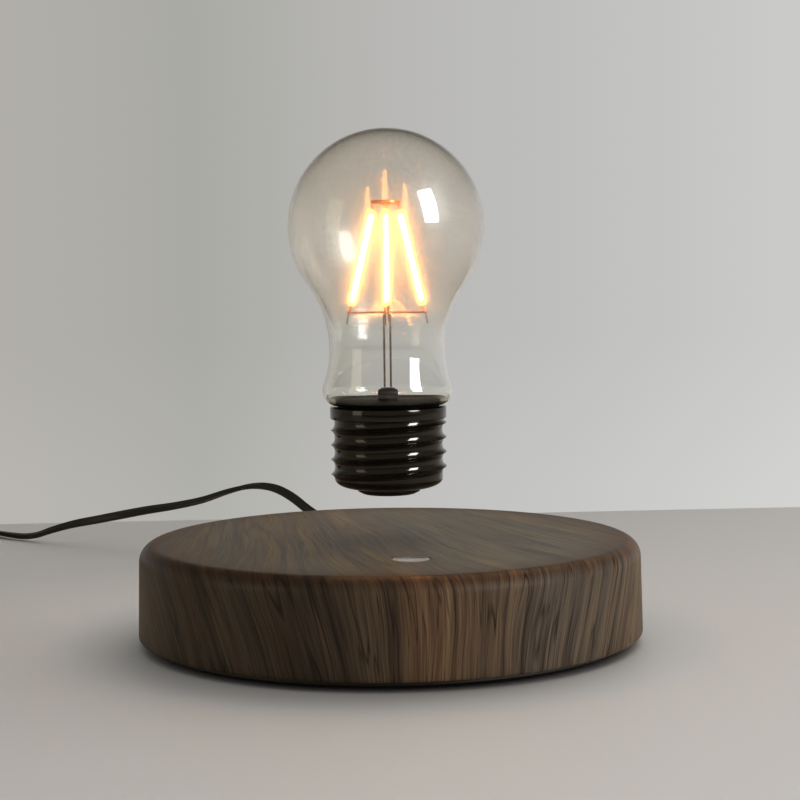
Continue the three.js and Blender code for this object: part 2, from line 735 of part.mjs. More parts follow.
[-1, 1].forEach((side) => {
  const from = [(side * supportWire.spacing) / 2, 0, crossHeight];
  add(side < 0 ? "cross_wire_left" : "cross_wire_right",
    joined(...wireArm(from, [side, 0]), knot(from, crossWire.radius), ...wireArm(from, [0, side])),
    finishes.copper, bulb);
});

["right", "back", "left", "front"].forEach((name, i) => {
  const [dx, dy] = onCircle(1, i * 90).map(Math.round);
  add(`filament_${name}`,
    rod([dx * filament.bottomRadius, dy * filament.bottomRadius, filamentBottom],
      [dx * filament.topRadius, dy * filament.topRadius, filamentTop], filament.radius, facets.small),
    finishes.glowing, bulb);
});

const ringBottom = filamentTop + topRing.rise;
const topLeads = angles(4, 0).map((angle) =>
  rod([...onCircle(filament.topRadius, angle), filamentTop + filament.radius / 2 + clearance],
    [...onCircle(filament.topRadius, angle), ringBottom + topRing.height / 2], topRing.leadRadius)
);
add("filament_ring",
  joined(
    washer(filament.topRadius - topRing.width / 2, filament.topRadius + topRing.width / 2, ringBottom,
      ringBottom + topRing.height),
    ...topLeads),
  finishes.copper, bulb);

// Power lead: plug, bend relief, free stretch, coil, tie and mains adaptor

const plugStart = shell.bottomRadius + clearance;
const plugEnd = plugStart + plug.length;
const bootStart = plugEnd + clearance;
const bootEnd = bootStart + plugBoot.length;

add("plug_barrel",
  alongY(
    turnedRing([
      [plug.barrelBore, 0],
      [plug.barrelRadius, 0],
      [plug.barrelRadius, plug.barrelLength],
      [plug.barrelBore, plug.barrelLength],
    ], facets.small),
    0, plugStart - clearance - plug.barrelLength, socketAxis),
  finishes.silver);
add("plug_body",
  alongY(
    turned([
      [0, 0],
      [plug.radius - plug.edge, 0],
      [plug.radius, plug.edge],
      [plug.radius, plug.length - plug.edge],
      [plug.radius - plug.edge, plug.length],
      [0, plug.length],
    ], facets.small),
    0, plugStart, socketAxis),
  finishes.blackPlastic);
add("plug_boot",
  alongY(
    turned([[0, 0], [plugBoot.startRadius, 0], [plugBoot.endRadius, plugBoot.length], [0, plugBoot.length]],
      facets.small),
    0, bootStart, socketAxis),
  finishes.blackPlastic);

// The coil spirals in and out again, layer by layer, and climbs a layer in each half turn where it reverses
const coilStartX = cordCoil.centreX + cord.diameter;
const coilBottom = cordTie.thickness + clearance + cord.diameter / 2;
const coilTopHeight = coilBottom + (cordCoil.layers - 1) * cordCoil.layerStep;

function coilPoints() {
  const climbTurns = 0.5;
  const spiralTurns = (cordCoil.turns - (cordCoil.layers - 1) * climbTurns) / cordCoil.layers;
  const points = [[coilStartX, cordCoil.centreY + cordCoil.outerRadius, coilBottom]];
  const steps = Math.round(cordCoil.turns * coilStepsPerTurn);
  for (let i = 0; i <= steps; i++) {
    const turn = (i * cordCoil.turns) / steps;
    const layer = Math.min(Math.floor(turn / (spiralTurns + climbTurns)), cordCoil.layers - 1);
    const inLayer = turn - layer * (spiralTurns + climbTurns);
    const spiral = Math.min(inLayer, spiralTurns) * cordCoil.radialStep;
    const climb = Math.max(inLayer - spiralTurns, 0) / climbTurns;
    const inwards = layer % 2 === 0 ? spiral : spiralTurns * cordCoil.radialStep - spiral;
    const [x, y] = onCircle(cordCoil.outerRadius - inwards, 90 + turn * 360);
    points.push([cordCoil.centreX + x, cordCoil.centreY + y, coilBottom + (layer + climb) * cordCoil.layerStep]);
  }
  const [x, y, z] = points.at(-1);
  return [...points, [x, y - cord.diameter, z]];
}

// A tube of flat sides through given points, each section square to the way between its neighbours
function facetedTube(points, diameter, sides) {
  const way = points.map((point) => new THREE.Vector3(...point));
  const places = [];
  const faces = [];
  way.forEach((at, i) => {
    const heading = way[Math.min(i + 1, way.length - 1)].clone().sub(way[Math.max(i - 1, 0)]).normalize();
    const across = new THREE.Vector3(0, 0, 1).cross(heading).normalize();
    const up = heading.clone().cross(across);
    for (let side = 0; side < sides; side++) {
      const [u, v] = onCircle(diameter / 2, ((side + 0.5) * 360) / sides);
      places.push(...at.clone().addScaledVector(across, u).addScaledVector(up, v).toArray());
      if (i === 0) continue;
      const [here, next] = [i * sides + side, i * sides + ((side + 1) % sides)];
      faces.push(here, here - sides, next, next, here - sides, next - sides);
    }
  });
  const last = (way.length - 1) * sides;
  for (let side = 1; side < sides - 1; side++) {
    faces.push(0, side + 1, side, last, last + side, last + side + 1);
  }
  const geometry = new THREE.BufferGeometry();
  geometry.setAttribute("position", new THREE.Float32BufferAttribute(places, 3));
  geometry.setIndex(faces);
  return geometry;
}

// The least room between a coil's turns, measured between points more than half a turn apart along it
function leastSelfGap(points, diameter) {
  const apart = coilStepsPerTurn / 2;
  let least = Infinity;
  points.forEach((point, i) => {
    for (let j = i + apart; j < points.length; j++) {
      least = Math.min(least, Math.hypot(...point.map((value, k) => value - points[j][k])));
    }
  });
  return least - diameter;
}

const coilWay = coilPoints();
add("cord_coil", facetedTube(coilWay, cord.diameter, facets.coil), finishes.blackPlastic);
console.log(`Least gap between the turns of the cord coil: ${leastSelfGap(coilWay, cord.diameter).toFixed(2)} mm`);

const leadStart = [0, bootEnd + clearance, socketAxis];
const leadEnd = [coilStartX + clearance, cordCoil.centreY + cordCoil.outerRadius, coilBottom];
const leadWay = [leadStart, ...leadRoute, leadEnd];
add("cord_lead", tube(leadWay, cord.diameter, facets.lead, leadWay.length * cord.stepsPerPoint), finishes.blackPlastic);

// The tie goes round the bundle of turns at one place
function tieBody() {
  const innermost = Math.min(...coilWay.map(([x, y]) => Math.hypot(x - cordCoil.centreX, y - cordCoil.centreY)));
  const low = innermost - cord.diameter / 2 - cordTie.sideRoom;
  const high = cordCoil.outerRadius + cord.diameter / 2 + clearance;
  const top = coilTopHeight + cord.diameter / 2 + clearance;
  const { thickness, width } = cordTie;
  const frame = (inner, outer, bottom, upper) =>
    new THREE.Path([[inner, bottom], [outer, bottom], [outer, upper], [inner, upper]]
      .map(([radius, height]) => new THREE.Vector2(radius, height)));
  const section = new THREE.Shape(frame(low - thickness, high + thickness, 0, top + thickness).getPoints());
  section.holes.push(frame(low, high, thickness, top));
  const band = new THREE.ExtrudeGeometry(section, { depth: width, steps: 1, bevelEnabled: false });
  return band.translate(0, 0, -width / 2).rotateX(Math.PI / 2);
}
const tie = add("cord_tie", tieBody(), finishes.blackPlastic);
tie.rotation.z = radians(cordTie.angle);
tie.position.set(cordCoil.centreX, cordCoil.centreY, 0);

// The adaptor lies beside the coil, with its lead and pins in line
const adaptorBootStart = cordCoil.centreY - cord.diameter - clearance;
const adaptorBack = adaptorBootStart - adaptor.bootLength - clearance;
const adaptorFront = adaptorBack - adaptor.length;
const adaptorLine = new THREE.Group();
adaptorLine.position.x = cordCoil.centreX - cordCoil.outerRadius;
lamp.add(adaptorLine);

add("adaptor_boot",
  alongY(
    turned([
      [0, 0],
      [adaptor.bootRadius, 0],
      [adaptor.bootEndRadius, adaptor.bootLength],
      [0, adaptor.bootLength],
    ], facets.small),
    0, adaptorBack + clearance, coilTopHeight),
  finishes.blackPlastic, adaptorLine);

function adaptorBody() {
  const [halfWidth, halfHeight, edge] = [adaptor.width / 2, coilTopHeight, adaptor.edge];
  const section = new THREE.Shape();
  section.moveTo(edge - halfWidth, 0);
  section.lineTo(halfWidth - edge, 0);
  section.absarc(halfWidth - edge, edge, edge, -Math.PI / 2, 0);
  section.absarc(halfWidth - edge, 2 * halfHeight - edge, edge, 0, Math.PI / 2);
  section.absarc(edge - halfWidth, 2 * halfHeight - edge, edge, Math.PI / 2, Math.PI);
  section.absarc(edge - halfWidth, edge, edge, Math.PI, 1.5 * Math.PI);
  return new THREE.ExtrudeGeometry(section, { depth: adaptor.length, steps: 1, bevelEnabled: false, curveSegments: arcSteps })
    .rotateX(Math.PI / 2)
    .translate(0, adaptorBack, 0);
}
add("adaptor_body", adaptorBody(), finishes.blackPlastic, adaptorLine);

[-1, 1].forEach((side, i) => {
  add(`adaptor_pin_${i + 1}`,
    alongY(disc(adaptorPin.radius, 0, adaptorPin.length, facets.small), (side * adaptorPin.spacing) / 2,
      adaptorFront - clearance - adaptorPin.length, coilTopHeight),
    finishes.silver, adaptorLine);
});

export default lamp;
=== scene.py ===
# Levitating lamp: a clear filament bulb that floats above a round base wrapped in walnut-print film.
# Metres, +Z up. The origin is on the table, under the middle of the base.

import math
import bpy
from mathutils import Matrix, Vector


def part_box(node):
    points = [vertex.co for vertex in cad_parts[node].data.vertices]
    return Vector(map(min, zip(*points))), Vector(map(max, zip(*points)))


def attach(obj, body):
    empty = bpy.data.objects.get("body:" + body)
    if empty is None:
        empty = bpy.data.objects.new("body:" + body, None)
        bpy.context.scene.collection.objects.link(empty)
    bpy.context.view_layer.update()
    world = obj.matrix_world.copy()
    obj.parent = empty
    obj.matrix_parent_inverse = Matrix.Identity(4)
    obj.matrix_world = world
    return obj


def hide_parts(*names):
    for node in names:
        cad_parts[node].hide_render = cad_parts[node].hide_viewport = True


bl_info = {
    "name": "Levitating Lamp",
    "version": (1, 0, 0),
    "blender": (4, 5, 0),
    "location": "View3D > Sidebar > Lamp",
    "description": "Makes the fine pieces, finishes, table, light and camera of a levitating lamp",
    "category": "Object",
}

from functools import partial

import bmesh
import bpy
import numpy as np
from bpy.props import FloatProperty, FloatVectorProperty, PointerProperty
from mathutils import Matrix, Vector

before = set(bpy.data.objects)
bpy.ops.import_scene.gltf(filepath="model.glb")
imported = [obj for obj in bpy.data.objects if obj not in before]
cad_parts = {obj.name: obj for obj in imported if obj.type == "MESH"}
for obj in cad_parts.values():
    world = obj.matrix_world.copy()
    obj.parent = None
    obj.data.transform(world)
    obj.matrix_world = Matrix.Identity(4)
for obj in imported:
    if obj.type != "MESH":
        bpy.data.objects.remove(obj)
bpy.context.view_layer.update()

MM = 0.001
GAP = 0.3 * MM  # between neighbouring pieces
BULB_TURN = math.radians(-14)

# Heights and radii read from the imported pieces

shell_low, shell_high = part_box("wood_shell")
plate_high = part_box("bottom_plate")[1]
disc_low, disc_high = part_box("touch_disc")
cap_low, cap_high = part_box("threaded_cap")
button_low, button_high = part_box("end_button")
glass_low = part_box("glass_envelope")[0]
adaptor_low, adaptor_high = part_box("adaptor_body")
socket_low, socket_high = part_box("power_socket")
SHELL_RADIUS = shell_high.x
SOCKET_AXIS = (socket_low.z + socket_high.z) / 2
TOUCH_Y = (disc_low.y + disc_high.y) / 2


def linear(code):
    """An sRGB hex colour as linear red, green and blue."""
    values = [int(code[i : i + 2], 16) / 255 for i in (1, 3, 5)]
    return tuple(v / 12.92 if v <= 0.04045 else ((v + 0.055) / 1.055) ** 2.4 for v in values)


def rgba(value):
    """A colour with its alpha, from a hex code or from linear red, green and blue."""
    return (*(linear(value) if isinstance(value, str) else value), 1)


def length(name, description, default):
    return FloatProperty(name=name, description=description, default=default, unit="LENGTH", subtype="DISTANCE")


def colour(name, description, code):
    return FloatVectorProperty(
        name=name, description=description, default=linear(code), subtype="COLOR", size=3, min=0, max=1
    )


def amount(name, description, default):
    return FloatProperty(name=name, description=description, default=default)


# Sizes and colours that a user would change


class LampSizes(bpy.types.PropertyGroup):
    rim_fillet: length("Rim fillet", "Radius of the base's rounded upper rim", 5.5 * MM)
    shell_wall: length("Shell wall", "Thickness of the base's moulded shell", 3 * MM)
    glass_wall: length("Glass wall", "Thickness of the bulb's glass", 1 * MM)
    thread_depth: length("Thread depth", "How far the cap's thread stands out", 1.35 * MM)
    thread_pitch: length("Thread pitch", "Climb of the cap's thread in one turn", 4.87 * MM)
    filament_width: length("Filament width", "Width of a filament's phosphor gel", 2.7 * MM)
    lead_width: length("Lead width", "Width of the flat two-core lead", 3.8 * MM)
    lead_thickness: length("Lead thickness", "Thickness of the flat two-core lead", 2.1 * MM)
    lead_twist: length("Lead twist", "Length in which the lead turns once about itself", 260 * MM)


class LampColours(bpy.types.PropertyGroup):
    walnut_dark: colour("Dark lines", "The film's darkest printed lines", "#1c100a")
    walnut_deep: colour("Deep walnut", "The film's darker brown figure", "#39291d")
    walnut_warm: colour("Warm walnut", "The film's warm brown bands", "#765a40")
    walnut_grey: colour("Grey walnut", "The film's grey brown bands", "#655a4f")
    walnut_light: colour("Light streaks", "The film's palest printed streaks", "#8a7152")
    cap_black: colour("Cap", "Polished black of the bulb's cap", "#1a140d")
    moulded_black: colour("Moulded black", "Black of the bottom plate, plug and adaptor", "#1b1a18")
    glow: colour("Filament light", "Colour of the light from the filaments", "#ffb05e")
    gel: colour("Phosphor gel", "Colour of the gel at the filaments' edges", "#ffcf35")


class StageSettings(bpy.types.PropertyGroup):
    table: colour("Table", "Pale table top", "#cbc7c2")
    room: colour("Room", "Dim room that metal and glass mirror from in front of the lamp", "#887d6a")
    wall_left: colour("Wall, left", "Wall tone left of the lamp", "#aaaaa4")
    wall_right: colour("Wall, right", "Wall tone at the right of the view", "#cbcbca")
    window_light: amount("Window light", "Radiance of the window at the right", 27.0)
    low_light: amount("Low light", "Radiance of that window on what lies on the table", 3.5)
    side_light: amount("Side light", "Radiance of the paler window at the left", 1.3)
    soft_light: amount("Soft light", "Radiance of the soft light behind at the right", 1.7)
    fill_light: amount("Fill light", "Strength of the light from all round", 0.43)


# Node trees


def feed(tree, node, *values, **named):
    """Fills a node's inputs, in order or by name. A socket is linked, as is a node's first live output, and any
    other value is set, a colour with its alpha."""
    for name, value in [*enumerate(values), *named.items()]:
        socket = node.inputs[name if isinstance(name, int) else name.replace("_", " ")]
        if isinstance(value, bpy.types.Node):
            value = next(output for output in value.outputs if output.enabled)
        if isinstance(value, bpy.types.NodeSocket):
            tree.links.new(value, socket)
        else:
            socket.default_value = rgba(value) if socket.type == "RGBA" else value


def add(tree, kind, *values, stops=(), **named):
    """Adds a node with its settings and links. A short kind is a shader node's, and a word after it is its
    operation. Inputs come in order, or by name with a capital letter. Other names are settings, and stops are
    a colour ramp's."""
    kind, *operation = kind.split()
    made = tree.nodes.new(kind if kind.startswith(("Node", "Geometry")) else "ShaderNode" + kind)
    if operation:
        made.operation = operation[0]
    inputs = {}
    for name, value in named.items():
        if name[0].isupper():
            inputs[name] = value
        else:
            setattr(made, name, value)
    feed(tree, made, *values, **inputs)
    if stops:
        elements = made.color_ramp.elements
        for element, (position, value) in zip(elements, (stops[0], stops[-1])):
            element.position, element.color = position, rgba(value)
        for position, value in stops[1:-1]:
            elements.new(position).color = rgba(value)
    return made


COLOURS = {"data_type": "RGBA"}
TINT = {"data_type": "RGBA", "blend_type": "MULTIPLY"}


def material(name, base, roughness, **inputs):
    """A material of one Principled shader, with its tree and shader for more to be added."""
    made = bpy.data.materials.new(name)
    made.use_nodes = True
    tree = made.node_tree
    shader = tree.nodes["Principled BSDF"]
    feed(tree, shader, Base_Color=base, Roughness=roughness, **inputs)
    return made, tree, shader


def place_of(tree, scale=(1, 1, 1)):
    """Object coordinates in metres, scaled."""
    return add(tree, "Mapping", Vector=add(tree, "TexCoord").outputs["Object"], Scale=scale)


def speckled(name, base, roughness, grain, depth, spread=0.06, **inputs):
    """A moulded or cast finish: a fine even grain in its relief, and slow changes in its gloss."""
    made, tree, shader = material(name, base, roughness, **inputs)
    where = place_of(tree)
    fine = add(tree, "TexNoise", Vector=where, Scale=1 / grain, Detail=2.0)
    slow = add(tree, "TexNoise", Vector=where, Scale=40.0, Detail=3.0)
    feed(tree, shader, Roughness=add(tree, "MapRange", slow, To_Min=roughness - spread, To_Max=roughness + spread))
    feed(tree, shader, Normal=add(tree, "Bump", Height=fine, Distance=depth))
    return made


def wound(name, base, wire):
    """Enamelled wire wound round Z: fine rings a wire apart, up the side and out over the ends."""
    made, tree, shader = material(name, base, 0.28, Metallic=1.0)
    rows = add(tree, "Math MULTIPLY", add(tree, "SeparateXYZ", place_of(tree)).outputs["Z"], math.tau / wire)
    feed(tree, shader, Normal=add(tree, "Bump", Height=add(tree, "Math SINE", rows), Distance=wire * 0.2))
    return made


def walnut_film(colours):
    # Walnut-print PVC film drawn hot over a moulded shell: fine dark streaks along the print, broad bands
    # of warm and grey brown, under a satin embossed surface
    made, tree, shader = material("walnut_print_film", colours.walnut_warm, 0.42, Specular_IOR_Level=0.28)
    node = partial(add, tree)
    print_place = node("UVMap", uv_map="grain")
    across, along, _ = node("SeparateXYZ", print_place).outputs
    slow = node("TexNoise", Vector=print_place, Scale=13.0, Detail=2.0)
    # The lines wander a little from side to side
    wander = node("Math MULTIPLY_ADD", node("Math SUBTRACT", slow, 0.5), 13 * MM, across)

    def streaks(width, run, seed, detail=2.0, roughness=0.5):
        """Noise drawn out along the print. Width and run are a streak's real size in metres."""
        at = node("CombineXYZ", node("Math MULTIPLY", wander, 1 / width), node("Math MULTIPLY", along, 1 / run), seed)
        return node("TexNoise", Vector=at, Scale=1.0, Detail=detail, Roughness=roughness)

    # The print is painted paler and softer on the flat top, standing in for the sheen that veils it there
    upright = node("SeparateXYZ", node("TexCoord").outputs["Normal"]).outputs["Z"]
    rim, top = 0.93, 0.998
    faintest = 0.55
    strength = node("MapRange", upright, rim, top, 1.0, faintest)
    broad = node("MapRange", strength, faintest, 1.0, 4.0, 1.0)

    def hairlines(width, run, seed, thin):
        """Thin lines where slow noise crosses its middle, so that they wander, fork and end."""
        crossing = node("Math ABSOLUTE", node("Math SUBTRACT", streaks(width, run, seed, 1.0), 0.5))
        return node("MapRange", crossing, node("Math MULTIPLY", broad, thin), 0.0)

    bands = streaks(20 * MM, 260 * MM, 3.1, 1.0)
    figure = streaks(4.5 * MM, 120 * MM, 7.7, 3.0, 0.55)
    fibres = streaks(0.5 * MM, 22 * MM, 5.9, 1.0, 0.6)
    patchy = streaks(9 * MM, 45 * MM, 2.4, 2.0)
    # Broad zones across the print: how pale it is (red) and how grey (green). The dark zones at the wall's left are
    # partly the print's own tone and partly painted shade
    zone_stops = [
        (0.0, (0.32, 0.15, 0)), (0.3, (0.36, 0.1, 0)), (0.39, (0.88, 0, 0)), (0.44, (1.5, 0, 0)),
        (0.51, (1.2, 0.5, 0)), (0.58, (1.5, 1.2, 0)), (0.72, (1.4, 1.1, 0)), (0.84, (1.22, 0.3, 0)),
        (1.0, (0.92, 0.4, 0)),
    ]
    zones = node("ValToRGB", node("MapRange", wander, -0.13, 0.17), stops=zone_stops)
    pale, drab, _ = node("SeparateColor", zones).outputs
    # Ground colour: warm brown to grey brown, with paler and darker figure in it
    contrast = node("Math MULTIPLY_ADD", strength, 0.4, 0.6)
    toned = node("Math MULTIPLY_ADD", node("Math SUBTRACT", figure, 0.5), contrast, 0.5)
    deep, light = colours.walnut_deep, colours.walnut_light
    warm = node("ValToRGB", toned, stops=[(0.25, deep), (0.5, colours.walnut_warm), (0.72, light)])
    grey = node("ValToRGB", toned, stops=[(0.25, deep), (0.5, colours.walnut_grey), (0.75, light)])
    # How far the print shows its zones: wholly on the wall, and little on the flat top. The top is also painted
    # greyer, as a stand-in for its sheen
    own = node("MapRange", upright, rim, top, 1.0, 0.3)
    greyness = node("Math ADD", drab, node("MapRange", bands, 0.35, 0.65, 0.15, 0.85))
    greyness = node("Math MULTIPLY_ADD", own, -0.5, greyness, use_clamp=True)
    ground = node("Mix", Factor=greyness, A=warm, B=grey, **COLOURS)
    # Dark hairlines half a millimetre wide and some five apart, with finer ones between them
    wide = hairlines(5.5 * MM, 95 * MM, 1.3, 0.023)
    fine = hairlines(2.4 * MM, 50 * MM, 4.2, 0.034)
    wide = node("Math MULTIPLY", wide, node("MapRange", patchy, 0.36, 0.5, 0.2, 1.0))
    fine = node("Math MULTIPLY", fine, node("MapRange", patchy, 0.62, 0.42, 0.1, 0.8))
    dark = node("Math MULTIPLY", node("Math MAXIMUM", wide, fine), strength)
    lined = node("Mix", Factor=node("Math MULTIPLY", dark, 0.95), A=ground, B=colours.walnut_dark, **COLOURS)
    # Fibres, and each zone's own depth of tone
    fibrous = node("Math MULTIPLY_ADD", node("MapRange", fibres, 0.34, 0.66, -0.3, 0.3), strength, 1.0)
    middling = 0.84
    zoned = node("Math MULTIPLY_ADD", own, node("Math SUBTRACT", pale, middling), middling)
    depth = node("Math MULTIPLY", fibrous, zoned)
    # Painted shade: the film is made darker and warmer near the edge where it bends over the rim, to dull the grey
    # sheen there
    reach = node("VectorMath LENGTH", node("VectorMath MULTIPLY", place_of(tree), (1, 1, 0)))
    rim_shade = node("Math MULTIPLY", node("MapRange", reach, 66 * MM, 80 * MM), node("MapRange", upright, 0.25, 0.75))
    # Painted tint: the flat top is made less blue, to offset the grey-blue cast that its sheen adds
    flat = node("MapRange", upright, 0.985, 0.999)
    printed = lined
    for factor, tone in ((1.0, depth), (rim_shade, (0.64, 0.45, 0.28)), (flat, (1.0, 1.03, 0.86))):
        printed = node("Mix", Factor=factor, A=printed, B=tone, **TINT)
    feed(tree, shader, Base_Color=printed, Roughness=node("MapRange", figure, 0.3, 0.7, 0.38, 0.47))
    # The dark hairlines are sunk in and the fibres stand up
    relief = node("Math MULTIPLY_ADD", dark, -0.6, node("MapRange", fibres, 0.3, 0.7))
    feed(tree, shader, Normal=node("Bump", Height=relief, Distance=0.03 * MM))
    return made


def brushed_disc(name, base, centre):
    # Stainless steel with a turned brush: rings about the disc's own middle
    made, tree, shader = material(name, base, 0.25, Metallic=1.0)
    where = add(tree, "TexCoord").outputs["Object"]
    away = add(tree, "Mapping", Vector=where, Location=(-centre[0], -centre[1], 0), Scale=(1, 1, 0))
    reach = add(tree, "VectorMath LENGTH", away)
    rings = add(tree, "TexNoise", W=reach, Scale=9000.0, Detail=3.0, noise_dimensions="1D")
    feed(tree, shader, Roughness=add(tree, "MapRange", rings, To_Min=0.16, To_Max=0.42))
    feed(tree, shader, Normal=add(tree, "Bump", Height=rings, Distance=0.02 * MM))
    return made


def drawn_wire(name, code, roughness):
    # Drawn wire: fine lines along it, and dull and bright patches where heat has touched it
    base = linear(code)
    made, tree, shader = material(name, base, roughness, Metallic=1.0)
    patches = add(tree, "TexNoise", Vector=place_of(tree), Scale=900.0, Detail=3.0)
    darker = tuple(v * 0.5 for v in base)
    feed(tree, shader, Base_Color=add(tree, "ValToRGB", patches, stops=[(0.35, darker), (0.62, base)]))
    feed(tree, shader, Normal=add(tree, "Bump", Height=patches, Distance=0.03 * MM))
    return made


def board(name, mask, mask_over_track, edge):
    # Glass-epoxy circuit board: green solder mask over copper tracks a millimetre apart
    made, tree, shader = material(name, mask, 0.35)
    where = place_of(tree, (1, 1, 0.3))
    tracks = add(
        tree, "TexBrick", Vector=where, Color1=mask, Color2=mask_over_track, Mortar=edge, Scale=200.0, Mortar_Size=0.06
    )
    raised = add(tree, "Bump", Height=tracks.outputs["Fac"], Distance=0.03 * MM)
    feed(tree, shader, Base_Color=tracks, Normal=raised)
    return made


def clear_glass():
    # Blown soda-lime glass, 1 mm thick. A little dust and haze in specks too fine to see one by one makes
    # the filaments bloom. Lamps shine through it, so that its shadow stays clear
    made, tree, shader = material("blown_soda_lime_glass", (0.96, 0.957, 0.93), 0.0, IOR=1.5, Transmission_Weight=1.0)
    node = partial(add, tree)
    where = place_of(tree)
    waves = node("TexNoise", Vector=where, Scale=38.0, Detail=1.0)
    feed(tree, shader, Normal=node("Bump", Height=waves, Distance=0.1 * MM))
    dust = node("TexNoise", Vector=where, Scale=1 / (0.1 * MM), Detail=0.0)
    # The specks lie round the hot filaments and are faintly amber. The neck is clean
    height = node("SeparateXYZ", where).outputs["Z"]
    hot = node("MapRange", height, 96 * MM, 110 * MM, To_Max=0.4)
    dusty = node("Math MULTIPLY", node("MapRange", dust, 0.56, 0.69), hot)
    smoked = node("ValToRGB", dusty, stops=[(0.0, (0.938, 0.942, 0.915)), (0.28, (1.0, 0.9, 0.81))])
    sphere = node("MapRange", height, 96 * MM, 116 * MM)
    tint = node("Mix", Factor=sphere, A=(0.967, 0.962, 0.935), B=smoked, **COLOURS)
    feed(tree, shader, Base_Color=tint, Roughness=dusty)
    clear = node("BsdfTransparent", Color=(0.96, 0.97, 0.96))
    mixed = node("MixShader", node("LightPath").outputs["Is Shadow Ray"], shader, clear)
    feed(tree, tree.nodes["Material Output"], Surface=mixed)
    return made


def glowing(name, glow, roughness, fineness, detail, weakest, strongest, **inputs):
    """A finish that gives light, a little stronger here and weaker there."""
    made, tree, shader = material(name, glow, roughness, Emission_Color=glow, **inputs)
    cloud = add(tree, "TexNoise", Vector=place_of(tree), Scale=fineness, Detail=detail)
    feed(tree, shader, Emission_Strength=add(tree, "MapRange", cloud, To_Min=weakest, To_Max=strongest))
    return made


def woven_strap(name, base):
    # Hook-and-loop strap: a nap of fine nylon loops, about half a millimetre apart
    made, tree, shader = material(name, base, 0.85, Sheen_Weight=0.4)
    nap = add(tree, "TexVoronoi", Vector=place_of(tree), Scale=1900.0)
    feed(tree, shader, Normal=add(tree, "Bump", Height=nap, Distance=0.2 * MM))
    return made


def make_finishes(colours):
    """Every finish, by the name that pieces ask for it."""
    return {
        "film": walnut_film(colours),
        # Moulded ABS, spark-eroded mould: a fine matt grain of about 0.3 mm
        "moulded_black": speckled("moulded_abs_black", colours.moulded_black, 0.52, 0.3 * MM, 0.03 * MM),
        # Satin ABS: a smooth black disc with a soft sheen
        "satin_black": speckled("satin_abs_black", "#070605", 0.55, 0.4 * MM, 0.01 * MM, Specular_IOR_Level=0.12),
        # The wires' stem: black glass, smooth but for fine die lines
        "stem_black": speckled("black_glass_stem", "#040403", 0.6, 1.5 * MM, 0.02 * MM, Specular_IOR_Level=0.06),
        # Polished-mould ABS: deep black gloss with faint waves
        "gloss_black": speckled("polished_abs_black", colours.cap_black, 0.1, 6 * MM, 0.02 * MM, 0.03),
        # Moulded silicone rubber: dull, with dust that dries its colour
        "rubber": speckled("silicone_rubber_black", "#1d1d1c", 0.78, 0.5 * MM, 0.04 * MM),
        "disc": brushed_disc("turned_brushed_stainless", "#e6e2da", (0, TOUCH_Y)),
        # Zinc-plated carbon steel: pale blue-grey, slightly clouded
        "steel": speckled("zinc_plated_steel", "#a9adb2", 0.32, 1.2 * MM, 0.01 * MM, Metallic=1.0),
        # Nickel-plated brass: warm white and smooth
        "nickel": speckled("nickel_plated_brass", "#c5c1b8", 0.22, 1.5 * MM, 0.008 * MM, Metallic=1.0),
        "copper_wire": drawn_wire("copper_clad_wire", "#e07b45", 0.33),
        "dark_wire": drawn_wire("oxidised_nickel_wire", "#5b5148", 0.42),
        "winding": wound("enamelled_copper_winding", "#b06038", 0.5 * MM),
        # Sintered ferrite: charcoal ceramic with an open grain
        "ferrite": speckled("sintered_ferrite", "#2f2f31", 0.7, 0.6 * MM, 0.05 * MM),
        "board": board("glass_epoxy_board", "#1c4a30", "#21553a", "#2f7048"),
        # Moulded epoxy: the dull grey-black of chip packages
        "epoxy": speckled("moulded_epoxy", "#222224", 0.6, 0.2 * MM, 0.01 * MM),
        # Soft PVC sheath: low sheen that the drawing die leaves slightly uneven
        "sheath": speckled("soft_pvc_sheath", "#0b0a08", 0.42, 2.5 * MM, 0.05 * MM),
        "strap": woven_strap("hook_and_loop_strap", "#141414"),
        "glass": clear_glass(),
        # The row of chips under the gel, too bright to show as more than one white line
        "chips": glowing("lit_chip_strip", colours.glow, 0.5, 700.0, 1.0, 40.0, 52.0),
        # Yellow phosphor in clear silicone: it lets the chips' light through and glows itself
        "gel": glowing("phosphor_silicone_gel", colours.gel, 0.35, 900.0, 2.0, 5.0, 7.0, Alpha=0.25),
    }


finishes = {}

# Mesh helpers


def arc(centre, radius, start, end, steps):
    """Points of an arc in the turning plane, with angles in degrees."""
    turns = np.radians(np.linspace(start, end, steps + 1))
    return [(centre[0] + radius * math.cos(t), centre[1] + radius * math.sin(t)) for t in turns]


def linked(name, data):
    """A new object in the scene, with this data."""
    made = bpy.data.objects.new(name, data)
    bpy.context.scene.collection.objects.link(made)
    return made


def new_object(name, vertices, faces):
    mesh = bpy.data.meshes.new(name)
    mesh.from_pydata([tuple(v) for v in vertices], [], faces)
    mesh.validate()
    return linked(name, mesh)


def lathe(name, profile, around=160, ring=False):
    """A solid turned about Z from (radius, height) points in metres, with faces out. A ring's profile closes."""
    profile = [*profile, profile[0]] if ring else profile
    vertices, rows = [], []
    turns = np.linspace(0, math.tau, around, endpoint=False)
    for index, (radius, height) in enumerate(profile):
        if ring and index == len(profile) - 1:
            rows.append(rows[0])
        elif radius < 1e-7:
            rows.append([len(vertices)] * around)
            vertices.append((0, 0, height))
        else:
            rows.append(range(len(vertices), len(vertices) + around))
            vertices.extend((radius * math.cos(t), radius * math.sin(t), height) for t in turns)
    faces = []
    for low, high in zip(rows, rows[1:]):
        for i in range(around):
            j = (i + 1) % around
            corners = list(dict.fromkeys([low[i], low[j], high[j], high[i]]))
            if len(corners) > 2:
                faces.append(corners)
    return outward(new_object(name, vertices, faces))


def stepped(*steps):
    """Profile points from (radius, level, rise): millimetres out, and millimetres above a level in metres."""
    return [(radius * MM, height + rise * MM) for radius, height, rise in steps]


